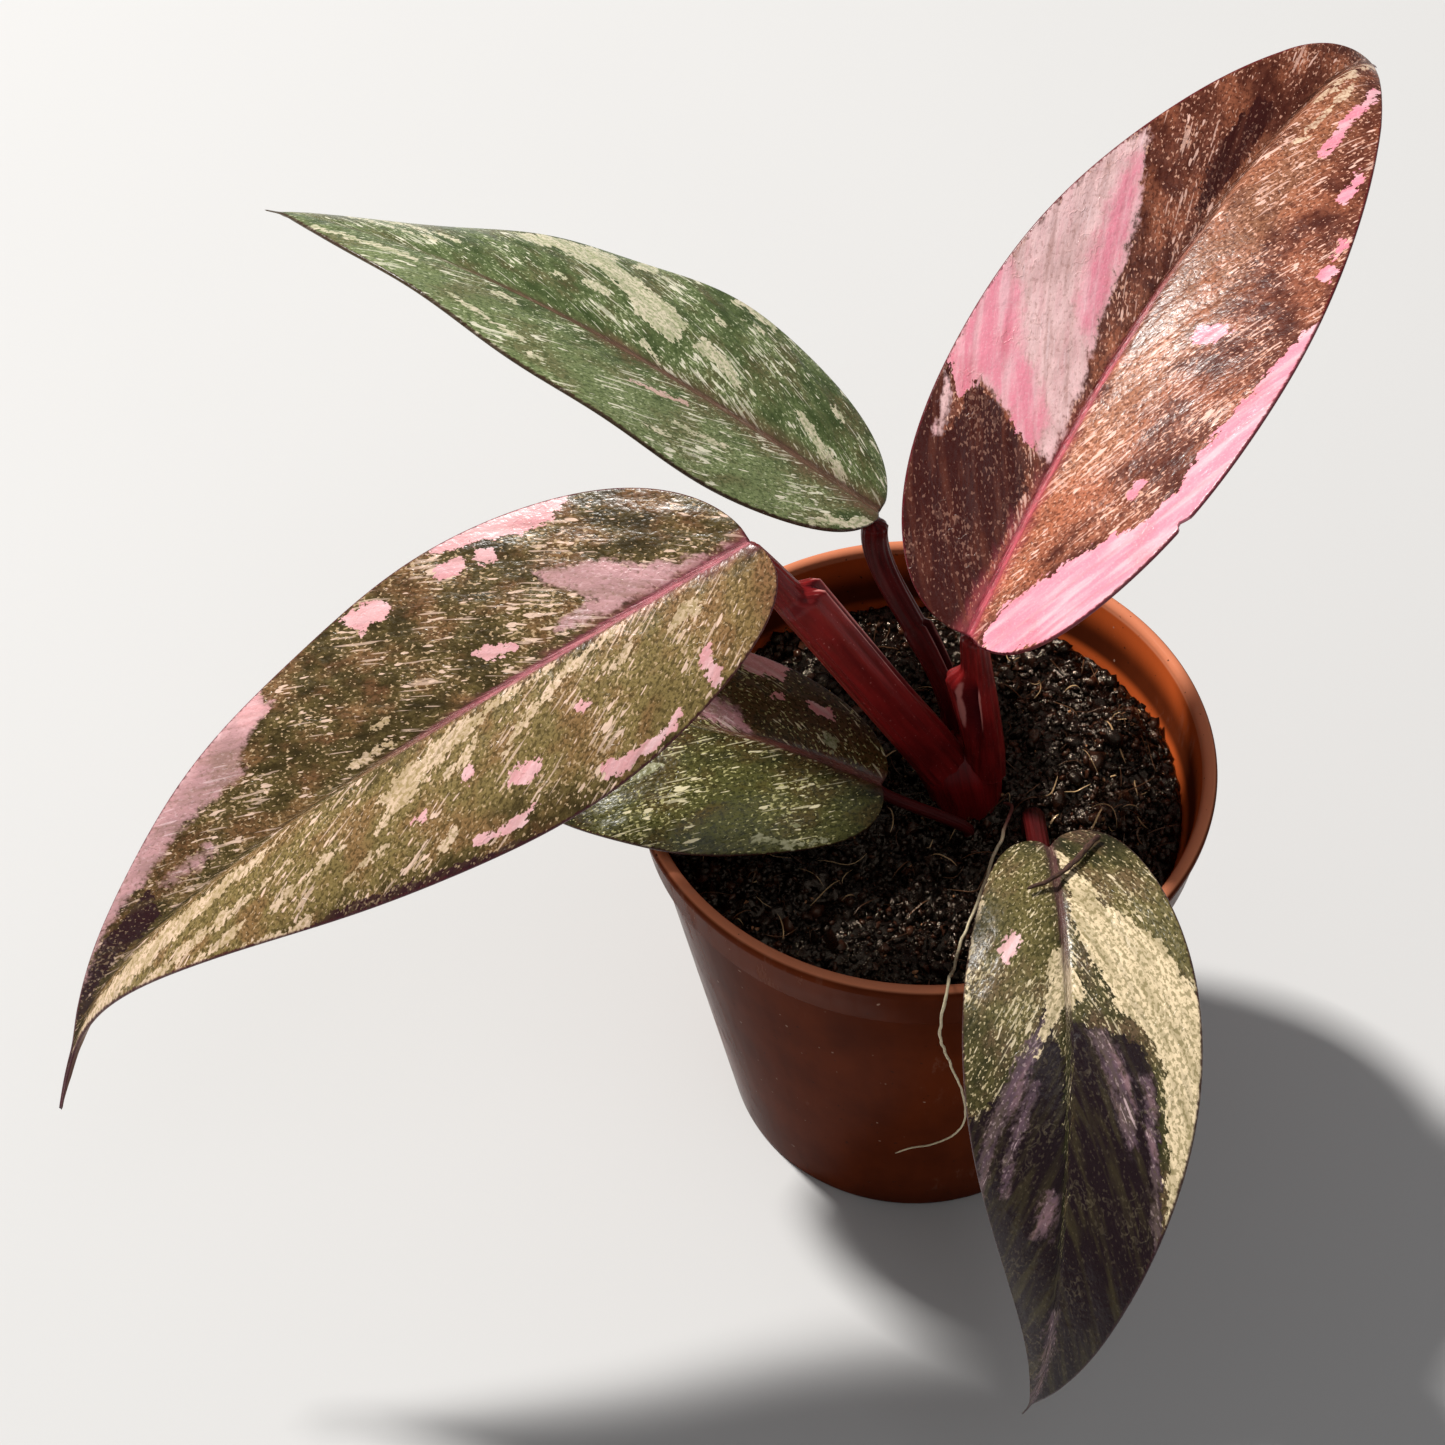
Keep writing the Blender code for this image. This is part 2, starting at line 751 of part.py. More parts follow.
def stalk_route(stalk, blade, shares):
    """The stalk's centre line: up out of its foot, then over to the underside of its blade."""
    distance, curve, along, across, up = midrib_frames(blade)
    seat = int(np.argmin(np.abs(distance - stalk.seat)))
    start = np.array(stalk.foot, float) + (0.0, 0.0, stalk.straight)
    line = unit(curve[seat] - start)
    dip = math.radians(stalk.dip)
    arrive = along[seat] * math.cos(dip) + up[seat] * math.sin(dip)
    arrive = unit(arrive + (line - arrive) * stalk.lean)
    leave = unit(np.array([0.0, 0.0, 1.0 - stalk.lean]) + line * stalk.lean)
    end = curve[seat] - up[seat] * (BLADE_THICKNESS + RIB_DEPTH) - arrive * STALK_CLEARANCE
    controls = (start, start + leave * stalk.rise, end - arrive * stalk.reach, end)
    points, directions = bezier(controls, shares)
    return points, directions, across[0]


def between(pair, share):
    """A value that runs from pair[1] at the foot to pair[0] at the blade."""
    return pair[1] + (pair[0] - pair[1]) * share


def stalk_section(stalk, share):
    """Sideways and inward sizes of one section: a flattened round, with a channel in the sheath."""
    turns = np.linspace(0.0, 2.0 * np.pi, STALK_SIDES, endpoint=False)
    left, right = between(stalk.left, share), between(stalk.right, share)
    outer, inner = between(stalk.outer, share), between(stalk.inner, share)
    groove = 0.0
    if share < stalk.sheath_end:
        grown = share / stalk.sheath_end
        left = max(left, between(stalk.sheath_left, grown))
        inner = max(inner, between(stalk.sheath_inner, grown))
        groove = GROOVE_DEPTH * grown
    x, y = np.cos(turns), np.sin(turns)
    sideways = np.where(x > 0.0, left, right) * x
    inward = np.where(y > 0.0, inner * np.abs(y) ** 0.8, outer * y)
    dent = groove * np.exp(-((x / GROOVE_HALF_WIDTH) ** 2))
    return sideways, inward - np.where(y > 0.0, dent, 0.0)


def build_stalk(stalk, blade):
    """One leaf stalk, swept along its route with its side towards its blade's left half."""
    shares = stalk_shares(stalk)
    points, directions, across = stalk_route(stalk, blade, shares)
    rings = []
    for share, centre, direction in zip(shares, points, directions):
        side = unit(across - direction * (direction @ across))
        sideways, inward = stalk_section(stalk, share)
        rings.append(centre + sideways[:, None] * side + inward[:, None] * np.cross(direction, side))
    tilt = directions[0] / directions[0][2]
    rings[0] = rings[0] - (rings[0][:, 2:] - points[0][2]) * tilt
    if stalk.straight > 0.0:
        rings.insert(0, rings[0] - (0.0, 0.0, stalk.straight))
    verts, faces = tube(rings)
    add_mesh(stalk.name, verts, faces, CRIMSON)


def smooth_route(points, steps):
    """A smooth curve through the points, by Catmull and Rom's rule."""
    p = np.array(points, float)
    p = np.concatenate([[2.0 * p[0] - p[1]], p, [2.0 * p[-1] - p[-2]]])
    t = np.linspace(0.0, 1.0, steps, endpoint=False)[:, None]
    curve = []
    for a, b, c, d in zip(p[:-3], p[1:-2], p[2:-1], p[3:]):
        square, cube = 2 * a - 5 * b + 4 * c - d, 3 * b - a - 3 * c + d
        curve.append(0.5 * (2 * b + (c - a) * t + square * t**2 + cube * t**3))
    return np.concatenate(curve + [p[-2:-1]])


def add_strand(name, route, radius, look):
    """A thin round strand along a route, as a curve with a bevel and filled ends."""
    curve = bpy.data.curves.new(name, "CURVE")
    curve.dimensions = "3D"
    curve.bevel_depth = MM * radius
    curve.bevel_resolution = 2
    curve.use_fill_caps = True
    spline = curve.splines.new("POLY")
    spline.points.add(len(route) - 1)
    for point, place in zip(spline.points, route):
        point.co = (MM * place[0], MM * place[1], MM * place[2], 1.0)
    item = bpy.data.objects.new(name, curve)
    bpy.context.scene.collection.objects.link(item)
    curve.materials.append(finish(name, *look))


def build_twig(blade):
    """The dry twig, held just off the upper face of the front blade."""
    u = np.array([place[0] for place in TWIG_ROUTE])
    v = np.array([place[1] for place in TWIG_ROUTE])
    points, _ = blade_surface(blade, u, v)
    route = smooth_route(points + midrib_frames(blade)[4][0] * TWIG_LIFT, ROOT_STEPS)
    add_strand("twig_dry", route, TWIG_RADIUS, DRY_TWIG)


def main():
    """Build the whole plant in its pot."""
    clear_scene()
    build_pot()
    build_soil()
    build_stem()
    blades = {blade.name: blade for blade in BLADES}
    for blade in BLADES:
        build_blade(blade)
    for stalk in STALKS:
        build_stalk(stalk, blades[stalk.blade])
    add_strand("root_hanging", smooth_route(ROOT_ROUTE, ROOT_STEPS), ROOT_RADIUS, PALE_ROOT)
    build_twig(blades["blade_front"])


main()
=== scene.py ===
"""The looks of a young pink princess philodendron in a small round nursery pot.

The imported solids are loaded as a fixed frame, and finer pieces take their places: five leaf
blades with their veins and pink, cream and dark markings, ribbed crimson stalks on a short
stem, the glossy pot, and the damp soil with its crumbs, fibres, root and twig.

Lengths in the classes are millimetres and angles degrees. The meshes are in metres, with +Z up
and the origin at the centre of the pot's underside.
"""

import logging
import math
from dataclasses import dataclass
from enum import Enum

import bpy
import numpy as np
from bpy.types import Material, Node, NodeTree, Object
from bpy.types import NodeSocket as Socket
from mathutils import Matrix, Vector

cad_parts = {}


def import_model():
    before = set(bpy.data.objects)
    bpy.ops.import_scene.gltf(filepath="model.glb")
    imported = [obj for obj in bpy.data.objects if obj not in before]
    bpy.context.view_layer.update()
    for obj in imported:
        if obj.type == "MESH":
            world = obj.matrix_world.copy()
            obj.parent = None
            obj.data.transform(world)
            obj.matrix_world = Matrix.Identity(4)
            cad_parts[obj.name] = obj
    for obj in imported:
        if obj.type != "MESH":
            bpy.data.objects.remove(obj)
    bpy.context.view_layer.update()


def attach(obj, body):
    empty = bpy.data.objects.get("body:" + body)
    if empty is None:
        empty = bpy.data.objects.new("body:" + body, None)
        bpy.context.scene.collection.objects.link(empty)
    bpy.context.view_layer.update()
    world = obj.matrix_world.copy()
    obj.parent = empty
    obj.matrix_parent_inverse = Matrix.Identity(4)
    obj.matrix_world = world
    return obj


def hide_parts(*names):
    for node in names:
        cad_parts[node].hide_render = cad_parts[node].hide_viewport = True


MM = 0.001
BODY = "root"

log = logging.getLogger("philodendron")

Pair = tuple[float, float]
Triple = tuple[float, float, float]
Colour = tuple[float, float, float]
Outline = tuple[Pair, ...]
Array = np.ndarray
Term = Socket | float | tuple


# Shapes worked out as whole arrays


def grid_triangles(rows: int, columns: int, wrap: bool = False) -> Array:
    """Two triangles for each cell of a grid of points.

    Args:
        rows: Number of rows of points.
        columns: Number of points in a row.
        wrap: Whether the last column joins the first.

    Returns:
        Point numbers, three to a triangle.
    """
    index = np.arange(rows * columns).reshape(rows, columns)
    if wrap:
        index = np.concatenate([index, index[:, :1]], axis=1)
    a, b, c, d = index[:-1, :-1], index[1:, :-1], index[1:, 1:], index[:-1, 1:]
    halves = [stacked(a, b, c), stacked(a, c, d)]
    return np.concatenate([half.reshape(-1, 3) for half in halves])


def lattice_noise(x: Array, y: Array, seed: int) -> Array:
    """Smooth random heights: random values on whole-number points, eased from one to the next.

    Args:
        x: First coordinates, one lattice step to a unit.
        y: Second coordinates.
        seed: Number that picks the random values.

    Returns:
        Heights from -1 to 1.
    """
    size = 256
    table = np.random.default_rng(seed).uniform(-1.0, 1.0, (size, size))
    left, low = np.floor(x).astype(int), np.floor(y).astype(int)
    across, up = x - left, y - low
    across, up = across**2 * (3.0 - 2.0 * across), up**2 * (3.0 - 2.0 * up)

    def corner(i: int, j: int) -> Array:
        """The random value at a corner of each lattice cell."""
        return table[(left + i) % size, (low + j) % size]

    bottom = corner(0, 0) * (1.0 - across) + corner(1, 0) * across
    top = corner(0, 1) * (1.0 - across) + corner(1, 1) * across
    return bottom * (1.0 - up) + top * up


def ease(values: Array, low: float, high: float) -> Array:
    """0 below low, 1 above high, and a smooth S between them."""
    t = np.clip((values - low) / (high - low), 0.0, 1.0)
    return t * t * (3.0 - 2.0 * t)


def between(pair: tuple[Array | float, Array | float], share: Array) -> Array:
    """From the pair's first value, at share 0, evenly to its second, at share 1."""
    return pair[0] + (pair[1] - pair[0]) * share


def stacked(*parts: Array | float) -> Array:
    """Arrays and plain numbers, spread to one shape and laid side by side in a last axis."""
    return np.stack(np.broadcast_arrays(*parts), axis=-1)


def full_turn(count: int) -> Array:
    """Angles in equal steps once round a circle."""
    return np.linspace(0.0, 2.0 * np.pi, count, endpoint=False)


def unit(vectors: Array) -> Array:
    """The same vectors at length 1."""
    return vectors / np.linalg.norm(vectors, axis=-1, keepdims=True)


def smooth_route(points: tuple[Triple, ...] | Array, steps: int) -> Array:
    """A smooth curve through the points, by Catmull and Rom's rule.

    Args:
        points: The points to pass through.
        steps: Number of steps from each point to the next.

    Returns:
        Points of the curve, the first and last given ones included.
    """
    p = np.array(points, float)
    p = np.concatenate([[2.0 * p[0] - p[1]], p, [2.0 * p[-1] - p[-2]]])
    t = np.linspace(0.0, 1.0, steps, endpoint=False)[None, :, None]
    a, b, c, d = (part[:, None, :] for part in (p[:-3], p[1:-2], p[2:-1], p[3:]))
    square, cube = 2 * a - 5 * b + 4 * c - d, 3 * b - a - 3 * c + d
    curve = 0.5 * (2 * b + (c - a) * t + square * t**2 + cube * t**3)
    return np.concatenate([curve.reshape(-1, 3), p[-2:-1]])


def swept_rings(route: Array, radii: Array, sides: int) -> Array:
    """Round rings square to a route, each point at its own distance from it.

    Args:
        route: Points of the centre line.
        radii: Distance of each ring's points from it, as rings by sides.
        sides: Points in a ring.

    Returns:
        Points, as rings by sides by three.
    """
    forward = unit(np.gradient(route, axis=0))
    level = np.array([0.31, 0.47, 0.83])
    side = unit(np.cross(forward, level))
    other = np.cross(forward, side)
    turn = full_turn(sides)[None, :, None]
    round_about = np.cos(turn) * side[:, None] + np.sin(turn) * other[:, None]
    return route[:, None] + round_about * radii[..., None]


def add_object(name: str, data: bpy.types.ID) -> Object:
    """A new object in the scene that holds a mesh, light or camera."""
    item = bpy.data.objects.new(name, data)
    bpy.context.scene.collection.objects.link(item)
    return item


@dataclass
class Surface:
    """A mesh in the making, in millimetres, with what its material reads from it."""

    points: Array
    faces: Array
    values: dict[str, Array] | None = None

    @classmethod
    def tube(cls, rings: Array, **values: Array) -> "Surface":
        """Join equal rings of points into a tube with a fan over each end.

        Args:
            rings: Points, as rings by points by three.
            values: What the rings' points carry, in the same order.

        Returns:
            The closed tube. The middle of each end comes last, and carries what the first or
            last point does.
        """
        count, sides = rings.shape[:2]
        ends = np.stack([rings[0].mean(axis=0), rings[-1].mean(axis=0)])
        points = np.concatenate([rings.reshape(-1, 3), ends])
        first, last = len(points) - 2, len(points) - 1
        ring = np.arange(sides)
        after = np.roll(ring, -1)
        far = (count - 1) * sides
        fans = stacked(first, after, ring), stacked(last, far + ring, far + after)
        faces = np.concatenate([grid_triangles(count, sides, wrap=True), *fans])
        flat = {key: value.reshape(-1, value.shape[-1]) for key, value in values.items()}
        full = {key: np.concatenate([value, value[:1], value[-1:]]) for key, value in flat.items()}
        return cls(points, faces, full)

    @classmethod
    def grains(cls, points: Array, faces: Array, shade: Array, kind: Array) -> "Surface":
        """Many small bodies with the same triangles, as one piece.

        Args:
            points: Points, as bodies by points by three.
            faces: The triangles of one body.
            shade: How light each body is.
            kind: Whether each body is one of the straw-coloured ones.

        Returns:
            The piece.
        """
        count, per = points.shape[:2]
        every = faces[None] + per * np.arange(count)[:, None, None]
        grain = np.repeat(stacked(shade, kind, 0.0), per, axis=0)
        return cls(points.reshape(-1, 3), every.reshape(-1, 3), {"grain": grain})

    def face_outwards(self) -> "Surface":
        """Itself, with every triangle turned round if its signed volume was below zero."""
        a, b, c = (self.points[self.faces[:, k]] for k in range(3))
        if np.einsum("ij,ij->i", a, np.cross(b, c)).sum() < 0.0:
            self.faces = self.faces[:, ::-1].copy()
        return self

    def build(self, name: str, sharp_angle: float | None = None) -> Object:
        """Make the mesh object.

        Args:
            name: Name of the object and its mesh.
            sharp_angle: Edges that turn by more than this stay sharp; None rounds them all.

        Returns:
            The new object, in metres.
        """
        mesh = bpy.data.meshes.new(name)
        mesh.vertices.add(len(self.points))
        mesh.vertices.foreach_set("co", (self.points * MM).astype(np.float32).ravel())
        mesh.loops.add(self.faces.size)
        mesh.loops.foreach_set("vertex_index", self.faces.astype(np.int32).ravel())
        mesh.polygons.add(len(self.faces))
        mesh.polygons.foreach_set("loop_start", np.arange(0, self.faces.size, 3, dtype=np.int32))
        mesh.update(calc_edges=True)
        mesh.validate()
        for key, vectors in (self.values or {}).items():
            attribute = mesh.attributes.new(key, "FLOAT_VECTOR", "POINT")
            attribute.data.foreach_set("vector", vectors.astype(np.float32).ravel())
        mesh.shade_smooth()
        if sharp_angle is not None:
            mesh.set_sharp_from_angle(angle=math.radians(sharp_angle))
        return add_object(name, mesh)


def place(item: Object, material: Material, slot: str, nodes: tuple[str, ...] = ()) -> None:
    """Give a piece its material and its body, and say which solids it stands for.

    Args:
        item: The finished piece.
        material: Its material.
        slot: Not used.
        nodes: Names of the solids that it replaces.
    """
    item.data.materials.clear()
    item.data.materials.append(material)
    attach(item, BODY)
    if nodes:
        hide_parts(*nodes)
    log.info("%s: %d triangles, for %s", item.name, len(item.data.polygons), nodes or "no solid")


# Shaders


class Graph:
    """Writes the nodes of one material or group, so that each line is one step of a formula."""

    def __init__(self, tree: NodeTree) -> None:
        """Take the tree to write into."""
        self.tree = tree

    def add(self, kind: str, **settings: object) -> Node:
        """A new node of a kind, with its settings."""
        node = self.tree.nodes.new(kind)
        for name, value in settings.items():
            setattr(node, name, value)
        return node

    def feed(self, target: Socket, source: Term) -> None:
        """Link a socket to its source, or set its plain value."""
        if isinstance(source, Socket):
            self.tree.links.new(source, target)
        else:
            target.default_value = source

    def math(self, operation: str, a: Term, b: Term = 0.0, clamp: bool = False) -> Socket:
        """One step of arithmetic on two numbers."""
        node = self.add("ShaderNodeMath", operation=operation, use_clamp=clamp)
        self.feed(node.inputs[0], a)
        self.feed(node.inputs[1], b)
        return node.outputs[0]

    def times(self, a: Term, b: Term) -> Socket:
        """The product of two numbers."""
        return self.math("MULTIPLY", a, b)

    def plus(self, a: Term, b: Term) -> Socket:
        """The sum of two numbers."""
        return self.math("ADD", a, b)

    def less(self, a: Term, b: Term) -> Socket:
        """The first number less the second."""
        return self.math("SUBTRACT", a, b)

    def step(self, value: Term, low: Term, high: Term) -> Socket:
        """0 below low, 1 above high and a smooth S between them."""
        node = self.add("ShaderNodeMapRange", interpolation_type="SMOOTHSTEP")
        self.feed(node.inputs["Value"], value)
        self.feed(node.inputs["From Min"], low)
        self.feed(node.inputs["From Max"], high)
        return node.outputs["Result"]

    def low_end(self, value: Term, low: Term, high: Term) -> Socket:
        """1 below low, 0 above high and a smooth S between them."""
        return self.less(1.0, self.step(value, low, high))

    def stretch(self, vector: Term, factors: Triple, shift: Triple = (0.0, 0.0, 0.0)) -> Socket:
        """A vector with each part multiplied by its factor, then moved."""
        node = self.add("ShaderNodeVectorMath", operation="MULTIPLY_ADD")
        self.feed(node.inputs[0], vector)
        self.feed(node.inputs[1], factors)
        self.feed(node.inputs[2], shift)
        return node.outputs[0]

    def split(self, vector: Term) -> tuple[Socket, Socket, Socket]:
        """The three parts of a vector."""
        node = self.add("ShaderNodeSeparateXYZ")
        self.feed(node.inputs[0], vector)
        return tuple(node.outputs)

    def noise(
        self,
        vector: Term,
        factors: Triple,
        shift: Triple = (0.0, 0.0, 0.0),
        detail: float = 2.0,
        roughness: float = 0.5,
    ) -> Socket:
        """Noise about 0.5 over a vector whose parts are first multiplied and moved.

        Args:
            vector: Where the noise is read.
            factors: What each part is multiplied by.
            shift: How far each part is then moved.
            detail: How many finer noises are added.
            roughness: How strong those are.

        Returns:
            The noise.
        """
        node = self.add("ShaderNodeTexNoise")
        self.feed(node.inputs["Vector"], self.stretch(vector, factors, shift))
        node.inputs["Scale"].default_value = 1.0
        node.inputs["Detail"].default_value = detail
        node.inputs["Roughness"].default_value = roughness
        return node.outputs[0]

    def blend(self, share: Term, low: Term, high: Term) -> Socket:
        """The low colour where the share is 0, and the high one where it is 1."""
        node = self.add("ShaderNodeMix", data_type="RGBA")
        self.feed(node.inputs[0], share)
        self.feed(node.inputs[6], low)
        self.feed(node.inputs[7], high)
        return node.outputs[2]

    def attribute(self, name: str) -> Socket:
        """A vector attribute of the piece's own mesh."""
        return self.add("ShaderNodeAttribute", attribute_name=name).outputs["Vector"]

    def object_place(self) -> Socket:
        """Object coordinates, in millimetres."""
        node = self.add("ShaderNodeTexCoord")
        return self.stretch(node.outputs["Object"], (1.0 / MM, 1.0 / MM, 1.0 / MM))

    def put_out(self, colour: Socket, roughness: Socket, height: Socket) -> None:
        """Link what a group puts out."""
        result = self.add("NodeGroupOutput").inputs
        for name, value in (("Colour", colour), ("Roughness", roughness), ("Height", height)):
            self.feed(result[name], value)

    def bump(self, height: Term, strength: float) -> Socket:
        """A normal from a height in millimetres."""
        node = self.add("ShaderNodeBump")
        node.inputs["Strength"].default_value = strength
        node.inputs["Distance"].default_value = MM
        self.feed(node.inputs["Height"], height)
        return node.outputs["Normal"]


def rgba(colour: Colour) -> tuple[float, float, float, float]:
    """A colour with full alpha."""
    return (*colour, 1.0)


def new_group(
    name: str, colours: tuple[str, ...], numbers: tuple[str, ...], vectors: tuple[str, ...]
) -> NodeTree:
    """A shader node group with its named inputs, which puts out a colour, roughness and height.

    Args:
        name: Name of the group.
        colours: Names of its colour inputs.
        numbers: Names of its number inputs.
        vectors: Names of its vector inputs.

    Returns:
        The empty group.
    """
    group = bpy.data.node_groups.new(name, "ShaderNodeTree")
    for kind, names in (("Vector", vectors), ("Color", colours), ("Float", numbers)):
        for socket in names:
            group.interface.new_socket(socket, in_out="INPUT", socket_type="NodeSocket" + kind)
    for socket, kind in (("Colour", "Color"), ("Roughness", "Float"), ("Height", "Float")):
        group.interface.new_socket(socket, in_out="OUTPUT", socket_type="NodeSocket" + kind)
    return group


def new_material(name: str) -> tuple[Material, Graph, Node]:
    """A material, a writer for its nodes, and its Principled shader."""
    material = bpy.data.materials.new(name)
    material.use_nodes = True
    graph = Graph(material.node_tree)
    return material, graph, material.node_tree.nodes["Principled BSDF"]


class GroupFinish:
    """A finish whose colour, roughness and relief come from a shared shader group."""

    def dressed(self, name: str, group: NodeTree, strength: float, specular: float) -> Material:
        """Make a material from the group, with the finish's own colours and numbers in it.

        The group's vector inputs read the mesh attributes of their own names, except Where, which
        reads object coordinates in millimetres.

        Args:
            name: Name of the material.
            group: The shared group.
            strength: Strength of the relief.
            specular: The shader's specular level.

        Returns:
            The material.
        """
        material, g, shader = new_material(name)
        node = g.add("ShaderNodeGroup", node_tree=group)
        for socket in list(node.inputs):
            key = socket.name.lower().replace(" ", "_")
            if socket.type == "VECTOR":
                g.feed(socket, g.object_place() if key == "where" else g.attribute(key))
            else:
                value = getattr(self, key)
                socket.default_value = rgba(value) if socket.type == "RGBA" else value
        g.feed(shader.inputs["Base Color"], node.outputs["Colour"])
        g.feed(shader.inputs["Roughness"], node.outputs["Roughness"])
        g.feed(shader.inputs["Normal"], g.bump(node.outputs["Height"], strength))
        shader.inputs["Specular IOR Level"].default_value = specular
        return material


class LeafGroup:
    """The shared look of a variegated leaf: base, specks, marked patches, midrib and margin.

    Its Veins vector counts millimetres across the side veins and along them. Its Pale vector
    holds how far inside the pink, cream and mauve patches a point lies, and its Deep vector the
    same for the dark and warm ones, then 1 on the underside. Its Place vector holds the share of
    the leaf's length, the distance to the margin and that to the midrib.
    """

    NAME = "variegated leaf"
    COLOURS = (
        "Base dark", "Base light", "Speck", "Fleck", "Warm", "Gold", "Dark", "Mauve", "Cream",
        "Pink", "Midrib", "Margin", "Underside",
    )
    NUMBERS = ("Speck level", "Fleck level", "Dark specks", "Vein spacing", "Midrib reach")
    VECTORS = ("Veins", "Pale", "Deep", "Glow", "Place")
    WHITE_PINK = (0.95, 0.70, 0.72, 1.0)

    def __init__(self) -> None:
        """Make the group's sockets and the noises that its layers share."""
        self.group = new_group(self.NAME, self.COLOURS, self.NUMBERS, self.VECTORS)
        self.g = Graph(self.group)
        self.source = self.g.add("NodeGroupInput").outputs
        self.grain = self.layer(0.22, 0.3, 0.0)
        self.ripple = self.layer(0.36, 0.62, 3.0, 2.0, 0.55)
        self.mottle = self.layer(1.3, 2.6, 11.0, 4.0, 0.62)
        self.streak = self.layer(1.1, 9.0, 19.0, 3.0, 0.5)
        self.blotch = self.layer(6.0, 9.0, 5.0, 3.0, 0.55)
        self.hue = self.layer(4.0, 8.0, 61.0, 3.0, 0.55)
        self.wrinkle = self.layer(3.2, 4.4, 23.0, 3.0, 0.6)
        self.ragged = self.g.plus(self.swing(self.mottle, 3.2), self.swing(self.ripple, 1.5))
        self.specks = self.dashes(0.28, 0.6, 31.0, self.source["Speck level"], 0.35)
        self.flecks = self.dashes(0.52, 2.4, 43.0, self.source["Fleck level"], 0.5)
        self.lines = self.dashes(0.42, 6.5, 71.0, self.source["Fleck level"], 0.45)

    def layer(
        self, across: float, along: float, shift: float, detail: float = 2.0, roughness: float = 0.5
    ) -> Socket:
        """Noise with features of these sizes, in millimetres, across and along the side veins."""
        factors = (1.0 / across, 1.0 / along, 0.0)
        moved = (shift, 2.0 * shift, 0.0)
        return self.g.noise(self.source["Veins"], factors, moved, detail, roughness)

    def dashes(
        self, across: float, along: float, shift: float, level: Socket, gathering: float
    ) -> Socket:
        """Crisp dashes along the veins, closer together in some regions than in others.

        Args:
            across: Size of a dash across the veins, in millimetres.
            along: Its size along them.
            shift: Moves the noise, so that two sorts of dash don't match.
            level: How high the noise must rise for a dash.
            gathering: How much the level changes from region to region.

        Returns:
            1 on the dashes and 0 off them.
        """
        g = self.g
        height = self.layer(across, along, shift, 1.5, 0.5)
        height = g.plus(height, self.swing(self.blotch, gathering))
        return g.step(height, level, g.plus(level, 0.035))

    def swing(self, value: Socket, size: float) -> Socket:
        """A noise moved to swing about 0, at a size."""
        return self.g.times(self.g.less(value, 0.5), size)

    def tint(self, colour: Term | str, mask: Socket, share: Term, tone: Term | str) -> Socket:
        """A colour with a share of a tone laid over it where the mask is 1.

        Args:
            colour: The colour below, or the name of the group's input that holds it.
            mask: Where the tone lies.
            share: How much of it shows there.
            tone: The tone, or the name of its input.

        Returns:
            The blended colour.
        """
        below, above = (self.source[c] if isinstance(c, str) else c for c in (colour, tone))
        return self.g.blend(self.g.times(mask, share), below, above)

    def base(self) -> Socket:
        """The leaf's own colour: mottled in two tones, with grain, specks and flecks."""
        g = self.g
        tone = g.plus(g.times(self.blotch, 0.5), g.times(self.mottle, 0.5))
        dark, light = self.source["Base dark"], self.source["Base light"]
        colour = g.blend(g.step(tone, 0.36, 0.64), dark, light)
        soft = g.plus(self.swing(self.hue, 9.0), self.swing(self.mottle, 6.0))
        warm = g.step(g.plus(g.split(self.source["Deep"])[1], soft), -2.6, 2.0)
        colour = self.tint(colour, warm, 0.8, "Warm")
        gold = g.step(g.plus(g.split(self.source["Glow"])[0], soft), -2.6, 2.0)
        colour = self.tint(colour, gold, 0.7, "Gold")
        colour = self.tint(colour, g.step(self.hue, 0.46, 0.62), 0.42, "Warm")
        colour = self.tint(colour, g.low_end(self.ripple, 0.4, 0.52), 0.6, "Base dark")
        colour = self.tint(colour, g.low_end(self.grain, 0.34, 0.5), 0.4, "Base dark")
        colour = self.tint(colour, self.specks, 0.75, "Speck")
        colour = self.tint(colour, self.lines, 0.55, "Fleck")
        return self.tint(colour, self.flecks, 0.9, "Fleck")

    def patch(self, inside: Socket, softness: float) -> Socket:
        """Where a patch is, with its edge made ragged along the veins."""
        return self.g.step(self.g.plus(inside, self.ragged), -softness, softness)

    def dark_tone(self) -> Socket:
        """The dark patches' colour, browner in places, with a share of the specks."""
        lighter = self.g.step(self.streak, 0.5, 0.66)
        tone = self.tint("Dark", lighter, 0.22, "Base light")
        return self.tint(tone, self.specks, self.source["Dark specks"], "Speck")

    def mauve_tone(self) -> Socket:
        """The mauve patches' colour: paler and darker streaks, and gaps that show the base."""
        g = self.g
        tone = self.tint("Mauve", g.step(self.streak, 0.46, 0.7), 0.22, "Pink")
        tone = self.tint(tone, g.low_end(self.streak, 0.34, 0.5), 0.3, "Base light")
        tone = self.tint(tone, self.lines, 0.5, self.WHITE_PINK)
        tone = self.tint(tone, g.step(self.hue, 0.44, 0.6), 0.2, "Base light")
        tone = self.tint(tone, g.low_end(self.ripple, 0.36, 0.44), 0.3, "Base light")
        return self.tint(tone, self.specks, 0.2, self.WHITE_PINK)

    def cream_tone(self) -> Socket:
        """The cream patches' colour, with grain and a few gaps that show the base."""
        tone = self.tint("Cream", self.g.step(self.streak, 0.44, 0.62), 0.5, "Gold")
        tone = self.tint(tone, self.g.low_end(self.ripple, 0.42, 0.53), 0.65, "Gold")
        tone = self.tint(tone, self.g.low_end(self.grain, 0.34, 0.46), 0.17, "Base light")
        return self.tint(tone, self.g.low_end(self.streak, 0.36, 0.44), 0.3, "Base light")

